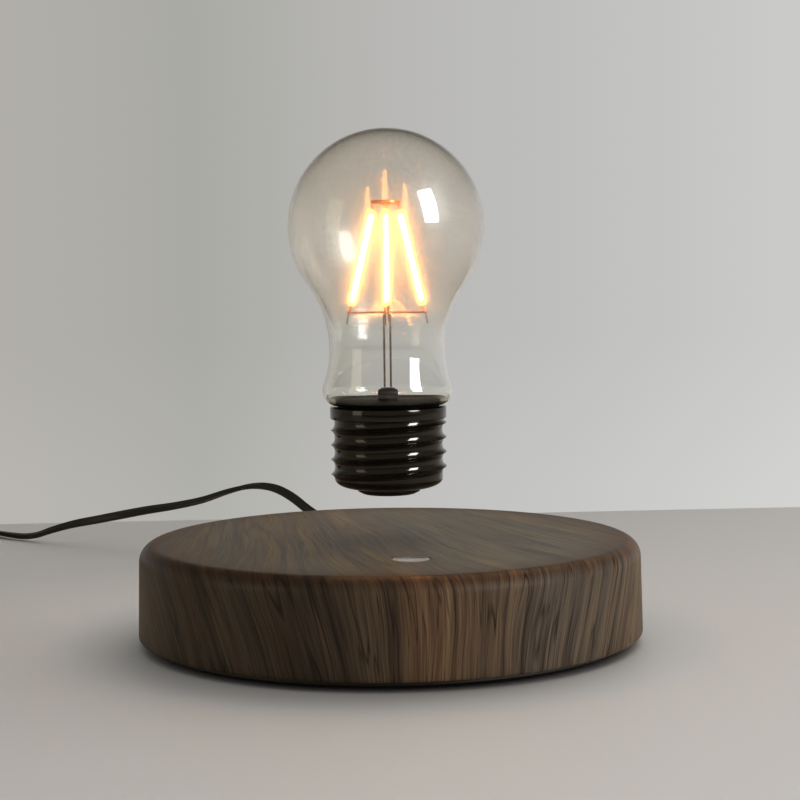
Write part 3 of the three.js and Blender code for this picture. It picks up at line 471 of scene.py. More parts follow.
def rod(name, radius, low, high, around):
    """A plain turned body, to be joined or cut away."""
    return lathe(name, [(0, low), (radius, low), (radius, high), (0, high)], around)


def stake(root, near, far):
    """A moulded post from a root to a board's near side, with a pin through to a melted head on its far side."""
    out = math.copysign(0.8, far - near)
    steps = (0, root, 0), (3, root, 0), (3, near, 0), (1.2, near, 0), (1.2, far, 0), (2.2, far, 0)
    return lathe("post", stepped(*steps, (1.8, far, out), (0, far, out)), 24)


def places_round(radius, count, first=0.0):
    """Moves to even steps round a circle, from a first angle in degrees."""
    for i in range(count):
        angle = math.radians(first + i * 360 / count)
        yield Matrix.Translation((radius * math.cos(angle), radius * math.sin(angle), 0))


def block(name, matrix):
    """A unit cube put through a matrix."""
    bpy.ops.mesh.primitive_cube_add(size=1)
    bpy.context.object.name = name
    return move(bpy.context.object, matrix)


def outward(piece):
    """Merges doubles and turns every face out."""
    work = bmesh.new()
    work.from_mesh(piece.data)
    bmesh.ops.remove_doubles(work, verts=work.verts, dist=1e-7)
    bmesh.ops.recalc_face_normals(work, faces=work.faces)
    work.to_mesh(piece.data)
    work.free()
    return piece


def bevel(piece, width, sharper=0.0):
    """Rounds the edges that turn by more than an angle."""
    work = bmesh.new()
    work.from_mesh(piece.data)
    edges = [edge for edge in work.edges if edge.calc_face_angle(0) > sharper]
    bmesh.ops.bevel(work, geom=edges, offset=width, segments=2, affect="EDGES")
    work.to_mesh(piece.data)
    work.free()
    return piece


def move(piece, matrix):
    piece.data.transform(matrix)
    piece.data.update()
    return piece


def along_y(piece, x=0.0, y=0.0, z=0.0):
    """Lays a turned piece along +Y."""
    return move(piece, Matrix.Translation((x, y, z)) @ Matrix.Rotation(-math.pi / 2, 4, "X"))


def combine(piece, others, how):
    """Cuts or joins other bodies, which are then removed."""
    for other in others:
        modifier = piece.modifiers.new(how, "BOOLEAN")
        modifier.operation = how
        modifier.solver = "EXACT"
        modifier.object = other
    settle(piece)
    for other in others:
        bpy.data.objects.remove(other)
    return piece


def settle(piece):
    """Turns the piece with its modifiers into a plain mesh."""
    graph = bpy.context.evaluated_depsgraph_get()
    mesh = bpy.data.meshes.new_from_object(piece.evaluated_get(graph))
    piece.modifiers.clear()
    old, piece.data = piece.data, mesh
    bpy.data.meshes.remove(old)
    mesh.name = piece.name
    return piece


def merge(name, pieces):
    """Several loose bodies as one piece."""
    work = bmesh.new()
    slots = []
    for piece in pieces:
        start = len(work.faces)
        work.from_mesh(piece.data)
        work.faces.ensure_lookup_table()
        for face in work.faces[start:]:
            face.material_index = len(slots)
        slots.append(piece.data.materials[0] if piece.data.materials else None)
    mesh = bpy.data.meshes.new(name)
    work.to_mesh(mesh)
    work.free()
    unique = list(dict.fromkeys(slots))
    for polygon in mesh.polygons:
        polygon.material_index = unique.index(slots[polygon.material_index])
    made = linked(name, mesh)
    for slot in unique:
        if slot:
            mesh.materials.append(slot)
    for piece in pieces:
        bpy.data.objects.remove(piece)
    return made


def paint(piece, finish):
    piece.data.materials.clear()
    piece.data.materials.append(finishes[finish])
    return piece


def seat(piece, body, slot, *nodes, finish=None, angle=32):
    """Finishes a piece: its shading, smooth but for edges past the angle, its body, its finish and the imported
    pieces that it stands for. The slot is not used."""
    if finish:
        paint(piece, finish)
    piece.data.shade_smooth()
    piece.data.set_sharp_from_angle(angle=math.radians(angle))
    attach(piece, body)
    if nodes:
        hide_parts(*nodes)
    return piece


def section_frames(points):
    """Headings and even cross directions along a way of points, without twist."""
    points = np.asarray(points, float)
    heading = np.gradient(points, axis=0)
    heading /= np.linalg.norm(heading, axis=1)[:, None]
    upright = abs(heading[0][2]) > 0.9
    side = np.cross(heading[0], (1.0, 0, 0) if upright else (0, 0, 1.0))
    side /= np.linalg.norm(side)
    sides = []
    for direction in heading:
        side = side - direction * (side @ direction)
        side /= np.linalg.norm(side)
        sides.append(side)
    sides = np.array(sides)
    return points, heading, sides, np.cross(heading, sides)


def loft(name, rings):
    """A closed solid through rings of as many points each."""
    count = len(rings[0])
    vertices = [point for ring in rings for point in ring]
    faces = []
    for start in range(0, len(vertices) - count, count):
        for k in range(count):
            n = (k + 1) % count
            faces.append((start + k, start + n, start + count + n, start + count + k))
    faces.append(tuple(range(count))[::-1])
    faces.append(tuple(range(len(vertices) - count, len(vertices))))
    return outward(new_object(name, vertices, faces))


def sweep(name, points, outline, twist=None):
    """A tube of the outline, (across, up) points in metres, along a way, turned by twist radians at each point."""
    points, heading, across, up = section_frames(points)
    outline = np.asarray(outline, float)
    turn = np.zeros(len(points)) if twist is None else np.asarray(twist)
    c, s = np.cos(turn)[:, None], np.sin(turn)[:, None]
    u = outline[None, :, 0] * c - outline[None, :, 1] * s
    v = outline[None, :, 0] * s + outline[None, :, 1] * c
    return loft(name, points[:, None] + u[..., None] * across[:, None] + v[..., None] * up[:, None])


def circle(radius, sides=12):
    turns = np.linspace(0, math.tau, sides, endpoint=False)
    return [(radius * math.cos(t), radius * math.sin(t)) for t in turns]


def straight(name, start, end, radius, sides=12):
    """A straight round wire."""
    start, end = Vector(start), Vector(end)
    return sweep(name, [start, (start + end) / 2, end], circle(radius, sides))


def rounded(middle, half, corner, radius, steps):
    """A rounded rectangle's points. Its corners turn about points that lie a corner in from its sides."""
    points = []
    for quarter in range(4):
        x = middle[0] + (half[0] - corner) * (1 if quarter in (0, 3) else -1)
        y = middle[1] + (half[1] - corner) * (1 if quarter in (0, 1) else -1)
        points += arc((x, y), radius, quarter * 90, quarter * 90 + 90, steps)
    return points


def smooth_way(points, steps):
    """A centripetal Catmull-Rom curve through points."""
    p = np.asarray(points, float)
    p = np.vstack([2 * p[0] - p[1], p, 2 * p[-1] - p[-2]])
    way = []
    for a, b, c, d in zip(p, p[1:], p[2:], p[3:]):
        t1 = math.sqrt(np.linalg.norm(b - a))
        t2 = t1 + math.sqrt(np.linalg.norm(c - b))
        t3 = t2 + math.sqrt(np.linalg.norm(d - c))
        for t in np.linspace(t1, t2, steps, endpoint=False):
            ab = (t1 - t) / t1 * a + t / t1 * b
            bc = (t2 - t) / (t2 - t1) * b + (t - t1) / (t2 - t1) * c
            cd = (t3 - t) / (t3 - t2) * c + (t - t2) / (t3 - t2) * d
            abc = (t2 - t) / t2 * ab + t / t2 * bc
            bcd = (t3 - t) / (t3 - t1) * bc + (t - t1) / (t3 - t1) * cd
            way.append((t2 - t) / (t2 - t1) * abc + (t - t1) / (t2 - t1) * bcd)
    way.append(p[-2])
    return np.array(way)


# Geometry Nodes trees


SOCKETS = {int: "NodeSocketInt", float: "NodeSocketFloat", type(None): "NodeSocketMaterial"}


def geometry_tree(name, **defaults):
    """A tree with a geometry in and out, and an input for each default. A finish has none."""
    tree = bpy.data.node_groups.new(name, "GeometryNodeTree")
    tree.interface.new_socket("Geometry", in_out="INPUT", socket_type="NodeSocketGeometry")
    for label, default in defaults.items():
        made = tree.interface.new_socket(label.replace("_", " "), in_out="INPUT", socket_type=SOCKETS[type(default)])
        if default is not None:
            made.default_value = default
    tree.interface.new_socket("Geometry", in_out="OUTPUT", socket_type="NodeSocketGeometry")
    return tree, add(tree, "NodeGroupInput").outputs


def end_tree(tree, geometry, finish):
    """Ends a tree with real geometry in its finish."""
    real = add(tree, "GeometryNodeRealizeInstances", geometry)
    add(tree, "NodeGroupOutput", add(tree, "GeometryNodeSetMaterial", Geometry=real, Material=finish))
    return tree


def run_tree(piece, tree, **values):
    """Runs a tree on a piece with its named inputs, and keeps the result as its mesh."""
    modifier = piece.modifiers.new(tree.name, "NODES")
    modifier.node_group = tree
    for item in tree.interface.items_tree:
        label = item.name.replace(" ", "_")
        if item.item_type == "SOCKET" and item.in_out == "INPUT" and label in values:
            modifier[item.identifier] = values[label]
    return settle(piece)


def ring_tree():
    """Copies of a piece at even steps round a circle about Z, each turned to face outwards."""
    tree, given = geometry_tree("ring_of_pieces", Count=4, Circle_Radius=0.06, First_Angle=0.0, Finish=None)
    node = partial(add, tree)
    step = node("Math DIVIDE", math.tau, given["Count"])
    angle = node("Math MULTIPLY_ADD", node("GeometryNodeInputIndex"), step, given["First Angle"])
    way = node("CombineXYZ", node("Math COSINE", angle), node("Math SINE", angle))
    place = node("VectorMath SCALE", way, Scale=given["Circle Radius"])
    placed = node("GeometryNodeSetPosition", node("GeometryNodePoints", given["Count"]), Position=place)
    turned = node("CombineXYZ", Z=angle)
    copies = node("GeometryNodeInstanceOnPoints", placed, Instance=given["Geometry"], Rotation=turned)
    return end_tree(tree, copies, given["Finish"])


def thread_tree():
    """Raises a screw thread on a turned skin: a sharp crest that climbs round Z and fades at both ends."""
    tree, given = geometry_tree(
        "screw_thread", Pitch=0.005, Depth=0.001, First_Crest=0.05, First_Angle=0.0, Turns=3.5, Fade=0.2,
        Sharpness=3.0, Low=0.05, High=0.07, Least_Radius=0.018, Finish=None,
    )
    node = partial(add, tree)
    x, y, z = node("SeparateXYZ", node("GeometryNodeInputPosition")).outputs
    angle = node("Math SUBTRACT", node("Math ARCTAN2", y, x), given["First Angle"])
    turn = node("Math FRACT", node("Math DIVIDE", angle, math.tau))
    climbed = node("Math DIVIDE", node("Math SUBTRACT", z, given["First Crest"]), given["Pitch"])
    along = node("Math SUBTRACT", climbed, turn)
    crest = node("Math ROUND", along)
    away = node("Math ABSOLUTE", node("Math SUBTRACT", along, crest))
    ridge = node("Math POWER", node("Math SUBTRACT", 1.0, node("Math MULTIPLY", away, 2.0)), given["Sharpness"])
    turns_in = node("Math ADD", crest, turn)
    rising = node("Math DIVIDE", node("Math ADD", turns_in, given["Fade"]), given["Fade"])
    left = node("Math SUBTRACT", node("Math ADD", given["Turns"], given["Fade"]), turns_in)
    falling = node("Math DIVIDE", left, given["Fade"])
    fade = node("Math MAXIMUM", node("Math MINIMUM", rising, falling), 0.0)
    fade = node("Math MINIMUM", fade, 1.0)
    above, below = node("Math GREATER_THAN", z, given["Low"]), node("Math LESS_THAN", z, given["High"])
    flat = node("CombineXYZ", x, y)
    outer = node("Math GREATER_THAN", node("VectorMath LENGTH", flat), given["Least Radius"])
    height = node("Math MULTIPLY", node("Math MULTIPLY", ridge, fade), given["Depth"])
    inside = node("Math MULTIPLY", above, below)
    height = node("Math MULTIPLY", height, node("Math MULTIPLY", inside, outer))
    offset = node("VectorMath SCALE", node("VectorMath NORMALIZE", flat), Scale=height)
    raised = node("GeometryNodeSetPosition", given["Geometry"], Offset=offset)
    return end_tree(tree, raised, given["Finish"])


# The view's own directions: it looks across the lamp from a little left of its front

VIEW_TURN = math.radians(-8)
# The photograph's camera, fitted to the base's ellipses
CAMERA = {"turn": 0.0061, "down": 0.0737, "roll": math.radians(0.7), "distance": 650 * MM, "height": 128.2 * MM}
FOCAL_PIXELS, FRAME_PIXELS, SENSOR = 1957, 800, 36


def from_view(x, y, z):
    """A place given by the view's right, depth and height, from the lamp's axis."""
    c, s = math.cos(VIEW_TURN), math.sin(VIEW_TURN)
    return Vector((c * x - s * y, s * x + c * y, z))


class LAMP_OT_camera(bpy.types.Operator):
    """Places the camera where the photograph was taken from"""

    bl_idname = "lamp.camera"
    bl_label = "Camera"

    def execute(self, context):
        turn, down, roll = CAMERA["turn"], CAMERA["down"], CAMERA["roll"]
        data = bpy.data.cameras.new("view")
        data.sensor_width = SENSOR
        data.lens = SENSOR * FOCAL_PIXELS / FRAME_PIXELS
        data.clip_start, data.clip_end = 0.01, 20
        camera = linked("view", data)
        context.scene.camera = camera
        ahead = from_view(math.sin(turn) * math.cos(down), math.cos(turn) * math.cos(down), -math.sin(down))
        right = from_view(math.cos(turn), -math.sin(turn), 0)
        up = right.cross(ahead)
        c, s = math.cos(roll), math.sin(roll)
        right, up = c * right - s * up, s * right + c * up
        axes = Matrix((right, up, -ahead)).transposed().to_4x4()
        camera.matrix_world = Matrix.Translation(from_view(0, -CAMERA["distance"], CAMERA["height"])) @ axes
        return {"FINISHED"}


# Millimetres: back from the plug, up in a low arch, and down to the table
LEAD_ROUTE = [
    (0, 116, 15.2), (-0.5, 125, 16), (-2.6, 135, 18), (-6.9, 145, 20.9), (-12.4, 155, 24.4), (-18.2, 165.5, 28.6),
    (-24.6, 176.5, 31.1), (-32.8, 188.5, 30.7), (-42.2, 198, 27.6), (-53.4, 207, 23), (-65.5, 215.5, 19.7),
    (-76.9, 223, 17.3), (-88, 230.3, 14.6), (-99, 237.1, 11.9), (-109.8, 243.9, 9.3), (-119.6, 250.6, 6),
    (-126.5, 256.2, 3.2), (-132.4, 262, 2), (-138.6, 268.4, 1.9), (-144.5, 276.5, 1.9), (-150, 286.5, 1.9),
    (-156.5, 295.8, 1.9), (-164, 301.5, 2.3), (-172, 303.4, 3),
]
COIL_CENTRE = (-184, 278.6)
COIL = {"outer": 24.9, "radial_step": 5, "layer_step": 4.4, "layers": 4, "turns": 8.25, "bottom": 3.2}


def coil_points(lead_width):
    """The coil spirals in and out again, layer by layer, and climbs a layer where the spiral reverses."""
    (x, y), climb_turns, steps_a_turn = COIL_CENTRE, 0.5, 24
    layers, turns = COIL["layers"], COIL["turns"]
    spiral_turns = (turns - (layers - 1) * climb_turns) / layers
    points = [(x + lead_width, y + COIL["outer"], COIL["bottom"])]
    steps = round(turns * steps_a_turn)
    for i in range(steps + 1):
        turn = i * turns / steps
        layer = min(math.floor(turn / (spiral_turns + climb_turns)), layers - 1)
        in_layer = turn - layer * (spiral_turns + climb_turns)
        spiral = min(in_layer, spiral_turns) * COIL["radial_step"]
        climb = max(in_layer - spiral_turns, 0) / climb_turns
        inwards = spiral if layer % 2 == 0 else spiral_turns * COIL["radial_step"] - spiral
        angle = math.radians(90) + turn * math.tau
        reach = COIL["outer"] - inwards
        height = COIL["bottom"] + (layer + climb) * COIL["layer_step"]
        points.append((x + reach * math.cos(angle), y + reach * math.sin(angle), height))
    x, y, z = points[-1]
    return [*points, (x, y - lead_width, z)]


class LAMP_OT_lead(bpy.types.Operator):
    """Makes the flat two-core lead, from the plug's bend relief to the end of its coil"""

    bl_idname = "lamp.lead"
    bl_label = "Lead"

    def execute(self, context):
        sizes = context.scene.lamp_sizes
        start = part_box("plug_boot")[1].y + GAP
        route = [(0, start / MM, SOCKET_AXIS / MM), *LEAD_ROUTE, *coil_points(sizes.lead_width / MM)]
        way = smooth_way(np.array(route) * MM, 4)
        along = np.concatenate([[0], np.cumsum(np.linalg.norm(np.diff(way, axis=0), axis=1))])
        # Two round cores side by side. Each runs this many degrees round to the shallow groove between them
        groove_at = 112
        core = sizes.lead_thickness / 2
        apart = sizes.lead_width / 2 - core
        outline = []
        for side in (1, -1):
            for angle in np.radians(np.linspace(-groove_at, groove_at, 9)):
                outline.append((side * (apart + core * math.cos(angle)), side * core * math.sin(angle)))
        # The lead turns slowly about itself, and its flat side lies as in the photograph
        first_turn = math.radians(51)
        twist = math.tau * along / sizes.lead_twist + first_turn
        lead = sweep("lead", way, outline, twist)
        seat(lead, "base", "lead_sheath", "cord_lead", "cord_coil", finish="sheath", angle=50)
        return {"FINISHED"}


class LAMP_OT_shell(bpy.types.Operator):
    """Makes the base's shell, wrapped in walnut-print film"""

    bl_idname = "lamp.shell"
    bl_label = "Base shell"

    def execute(self, context):
        sizes = context.scene.lamp_sizes
        radius, top, bottom = SHELL_RADIUS, shell_high.z, shell_low.z
        # The wall leans in by this much to its top. Its foot and its inner corner are rounded
        lean, foot, corner = 0.6 * MM, 1.1 * MM, 2.5 * MM
        upper, fillet, wall = radius - lean, sizes.rim_fillet, sizes.shell_wall
        inner, under, fall = radius - wall, top - wall, bottom + foot
        profile = [(upper * share, top) for share in np.linspace(0, 0.92, 12)]
        profile += arc((upper - fillet, top - fillet), fillet, 90, 0, 12)
        profile += [
            (upper + (radius - upper) * share, (top - fillet) * (1 - share) + fall * share)
            for share in np.linspace(0, 1, 14)[1:]
        ]
        profile += arc((radius - foot, fall), foot, 0, -90, 4)[1:] + [(inner, bottom)]
        profile += arc((inner - corner, under - corner), corner, 0, 90, 6) + [(0, under)]
        shell = lathe("walnut_shell", profile, 240)
        # Screw bosses, and the posts that carry the touch sensor's board, all rooted inside the top
        root = under + 1.5 * MM
        joins, cuts = [], []
        for place in places_round(70 * MM, 4, 45):
            joins.append(move(rod("boss", 4 * MM, 4.5 * MM, root, 32), place))
            cuts.append(move(rod("pilot", 1.5 * MM, 3 * MM, 13.8 * MM, 24), place))
        board_low, board_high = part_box("touch_sensor_board")
        for side in (-1, 1):
            post = stake(root, board_high.z + GAP, board_low.z - GAP)
            joins.append(move(post, Matrix.Translation((side * 9.5 * MM, TOUCH_Y, 0))))
        # The touch disc's pocket and the bore for its foot, and the hole for the power socket's nose
        steps = (0, under, -1), (2.5, under, -1), (2.5, top, -1.5), (6.2, top, -1.5), (6.2, top, -0.35)
        pocket = lathe("pocket", stepped(*steps, (6.5, top, 0.05), (6.5, top, 1), (0, top, 1)), 64)
        cuts.append(move(pocket, Matrix.Translation((0, TOUCH_Y, 0))))
        cuts.append(along_y(rod("hole", 5.1 * MM, 0, 8 * MM, 48), 0, inner - 4 * MM, SOCKET_AXIS))
        combine(shell, joins, "UNION")
        combine(shell, cuts, "DIFFERENCE")
        self.lay_film(shell.data, upper - fillet, top - fillet, fillet)
        seat(shell, "base", "walnut_film", "wood_shell", finish="film", angle=38)
        return {"FINISHED"}

    @staticmethod
    def lay_film(mesh, flat, wall_top, fillet):
        """Lays the print over the top, where its lines draw together towards the back, and down the wall, where
        the stretched film draws them in towards the front."""
        grain = mesh.uv_layers.new(name="grain")
        front, draw, middle, stretch = -SHELL_RADIUS, 0.15, -0.025, 7.5
        for loop in mesh.loops:
            x, y, z = mesh.vertices[loop.vertex_index].co
            reach = math.hypot(x, y)
            if reach <= flat:
                down = 0.0
            elif z > wall_top:
                down = math.atan2(reach - flat, max(z - wall_top, 1e-6)) * fillet
            else:
                down = fillet * math.pi / 2 + (wall_top - z)
            across = (middle + (x - middle) * (1 + (y - front) / draw)) * (1 + stretch * down)
            grain.data[loop.index].uv = (across, y * (1 + down / SHELL_RADIUS))


class LAMP_OT_underside(bpy.types.Operator):
    """Makes the bottom plate, the rubber feet and the screws"""

    bl_idname = "lamp.underside"
    bl_label = "Underside"

    def execute(self, context):
        radius, low, high, foot_circle = plate_high.x, 1.2 * MM, 4.2 * MM, 66 * MM
        # Two shallow moulded steps round the middle of the underside
        profile = stepped((0, low, 0), (18, low, 0), (30, low, 0), (30.2, low, 0.4), (56, low, 0.4), (56.2, low, 0))
        profile += [(radius - 0.6 * MM, low), (radius, low + 0.6 * MM), (radius, high), (0, high)]
        plate = lathe("bottom_cover", profile, 240)
        board_low, board_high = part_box("control_board")
        posts = []
        for side in (-1, 1):
            post = stake(high - 1 * MM, board_low.z - GAP, board_high.z + GAP)
            posts.append(move(post, Matrix.Translation((side * 16 * MM, board_low.y + 4 * MM, 0))))
        combine(plate, posts, "UNION")
        cuts = [move(rod("pocket", 6.3 * MM, 0, 2.2 * MM, 48), place) for place in places_round(foot_circle, 4)]
        # How many, first angle, then radius and height of head, radius of shank and whole run
        screw_rings = {
            "shell_screw": (4, 45, 2.8 * MM, 1.5 * MM, 1.2 * MM, 12 * MM),
            "module_screw": (3, 30, 2.4 * MM, 1.3 * MM, 1.1 * MM, 5 * MM),
        }
        for name, (count, first, head, head_height, shank, run) in screw_rings.items():
            first_low, first_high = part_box(f"{name}_1")
            circle_radius = math.hypot((first_low.x + first_high.x) / 2, (first_low.y + first_high.y) / 2)
            bearing, end = low + head_height + 2 * GAP, high + 1 * MM
            wide, narrow = head + GAP, shank + GAP
            profile = [(0, 0), (wide, 0), (wide, bearing), (narrow, bearing), (narrow, end), (0, end)]
            cuts += [move(lathe("hole", profile, 32), place) for place in places_round(circle_radius, count, first)]
            self.screws(name, count, first, circle_radius, head, head_height, shank, run)
        combine(plate, cuts, "DIFFERENCE")
        seat(plate, "base", "black_plastic", "bottom_plate", finish="moulded_black")

        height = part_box("rubber_foot_1")[1].z
        profile = stepped((0, 0, 0.25), (3.6, 0, 0.25), (4, 0, 0), (5.5, 0, 0))
        profile += arc((5.5 * MM, 0.5 * MM), 0.5 * MM, -90, 0, 4)[1:]
        profile += stepped((6, height, -0.2), (5.8, height, 0), (0, height, 0))
        feet = lathe("rubber_feet", profile, 48)
        run_tree(feet, ring_tree(), Count=4, Circle_Radius=foot_circle, First_Angle=0.0, Finish=finishes["rubber"])
        seat(feet, "base", "black_rubber", *[f"rubber_foot_{i}" for i in range(1, 5)])
        return {"FINISHED"}

    @staticmethod
    def screws(name, count, first, circle_radius, head, head_height, shank, run):
        """A ring of cross-recess screws that point up."""
        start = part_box(f"{name}_1")[0].z
        level = start + head_height
        pitch, root = 0.9 * MM, shank * 0.8
        profile = [(0, start), (head * 0.8, start)]
        profile += arc((head * 0.8, start + head * 0.2), head * 0.2, -90, 0, 3)[1:]
        profile += [(head, level), (shank, level)]
        while level + pitch < start + run - 0.5 * MM:
            profile += [(shank, level + 0.35 * pitch), (root, level + 0.7 * pitch), (shank, level + pitch)]
            level += pitch
        profile += [(shank * 0.5, start + run), (0, start + run)]
        screw = lathe(f"{name}s", profile, 32)
        slots = []
        for turn in (0, math.pi / 2):
            size = Matrix.Diagonal((head * 1.2, head * 0.24, head_height * 1.1, 1))
            slots.append(block("slot", Matrix.Translation((0, 0, start)) @ Matrix.Rotation(turn, 4, "Z") @ size))
        combine(screw, slots, "DIFFERENCE")
        run_tree(
            screw, ring_tree(), Count=count, Circle_Radius=circle_radius, First_Angle=math.radians(first),
            Finish=finishes["steel"],
        )
        seat(screw, "base", "steel", *[f"{name}_{i + 1}" for i in range(count)])


class LAMP_OT_touch_disc(bpy.types.Operator):
    """Makes the touch switch's metal disc"""

    bl_idname = "lamp.touch_disc"
    bl_label = "Touch disc"

    def execute(self, context):
        top, radius, foot, edge = disc_high.z, disc_high.x, disc_low.z, 0.35 * MM
        profile = stepped((0, foot, 0), (2.2, foot, 0), (2.2, top, -1.2)) + [(radius, top - 1.2 * MM)]
        profile += arc((radius - edge, top - edge), edge, 0, 90, 5)
        # The face is very slightly dished inside its rim
        profile += [(radius - 0.75 * MM, top), (radius - 0.9 * MM, top - 0.08 * MM), (0, top - 0.1 * MM)]
        made = move(lathe("touch_button", profile, 96), Matrix.Translation((0, TOUCH_Y, 0)))
        seat(made, "base", "brushed_metal", "touch_disc", finish="disc", angle=50)
        return {"FINISHED"}


class LAMP_OT_socket(bpy.types.Operator):
    """Makes the power socket with its centre pin"""

    bl_idname = "lamp.socket"
    bl_label = "Power socket"

    def execute(self, context):
        low, high = socket_low, Vector((socket_high.x, SHELL_RADIUS - 3.8 * MM, socket_high.z))
        box = block("socket_housing", Matrix.Translation((low + high) / 2) @ Matrix.Diagonal((*(high - low), 1)))
        bevel(box, 0.4 * MM)
        mouth, nose_run, bore_run = socket_high.y, 6.8 * MM, 10 * MM
        nose = lathe("nose", stepped((0, 0, 0), (4.8, 0, 0), (4.8, 0, 6.5), (4.5, 0, 6.8), (0, 0, 6.8)), 64)
        combine(box, [along_y(nose, 0, mouth - nose_run, SOCKET_AXIS)], "UNION")
        steps = (0, 0, 0), (3.1, 0, 0), (3.1, 0, 9.6), (3.5, 0, 10), (3.5, 0, 11), (0, 0, 11)
        bore = lathe("bore", stepped(*steps), 64)
        combine(box, [along_y(bore, 0, mouth - bore_run, SOCKET_AXIS)], "DIFFERENCE")
        seat(box, "base", "black_plastic", "power_socket", finish="moulded_black")

        pin_low, pin_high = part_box("socket_pin")
        run = pin_high.y - pin_low.y
        pin = lathe("socket_contact", stepped((0, 0, 0), (1, 0, 0), (1, run, -0.6), (0.5, run, 0), (0, run, 0)), 32)
        seat(along_y(pin, 0, pin_low.y, SOCKET_AXIS), "base", "brushed_metal", "socket_pin", finish="nickel")
        return {"FINISHED"}


def bend_relief(name, node, wide, narrow, count):
    """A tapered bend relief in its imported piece's place: a plain cone under rings that leave slots between them."""
    start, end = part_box(node)
    run = end.y - start.y
    step = run / count
    # Shares of a step where a ring ends and where its slot's sides stand, and the core's share of the ring
    ring_end, slot_side, slot_end, core_share = 0.62, 0.04, 0.96, 0.74
    profile = [(0, 0)]
    for i in range(count):
        low, high = i * step, (i + ring_end) * step
        r0 = wide + (narrow - wide) * low / run
        r1 = wide + (narrow - wide) * high / run
        core = (r1 + 0.2 * MM) * core_share
        profile += [(r0, low + 0.1 * MM * (i == 0)), (r1, high)]
        profile += [(core, high + slot_side * step), (core, (i + slot_end) * step)]
    profile += [(narrow, run), (0, run)]
    made = along_y(lathe(name, profile, 48), (start.x + end.x) / 2, start.y, (start.z + end.z) / 2)
    return seat(made, "base", "black_plastic", node, finish="moulded_black", angle=30)


class LAMP_OT_plug(bpy.types.Operator):
    """Makes the barrel plug with its bend relief"""

    bl_idname = "lamp.plug"
    bl_label = "Plug"

    def execute(self, context):
        low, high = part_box("plug_barrel")
        run = high.y - low.y
        steps = (1.35, 0, 0.3), (1.65, 0, 0), (2.45, 0, 0), (2.75, 0, 0.3), (2.75, run, 0), (1.35, run, 0)
        barrel = along_y(lathe("plug_sleeve", stepped(*steps), 48, ring=True), 0, low.y, SOCKET_AXIS)
        seat(barrel, "base", "brushed_metal", "plug_barrel", finish="nickel")

        low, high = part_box("plug_body")
        run = high.y - low.y
        radius, front, back = 5 * MM, 0.8 * MM, 1.6 * MM
        profile = [(0, 0)] + arc((radius - front, front), front, -90, 0, 4) + [(radius, 3.2 * MM)]
        # Five finger grooves
        for i in range(5):
            start = 4 * MM + i * 2.1 * MM
            profile += stepped((5, start, 0), (4.55, start, 0.4), (4.55, start, 1), (5, start, 1.4))
        profile += arc((radius - back, run - back), back, 0, 90, 5) + [(0, run)]
        body = along_y(lathe("plug_grip", profile, 64), 0, low.y, SOCKET_AXIS)
        seat(body, "base", "black_plastic", "plug_body", finish="moulded_black", angle=45)

        bend_relief("plug_relief", "plug_boot", 3.8 * MM, 2.5 * MM, 5)
        return {"FINISHED"}


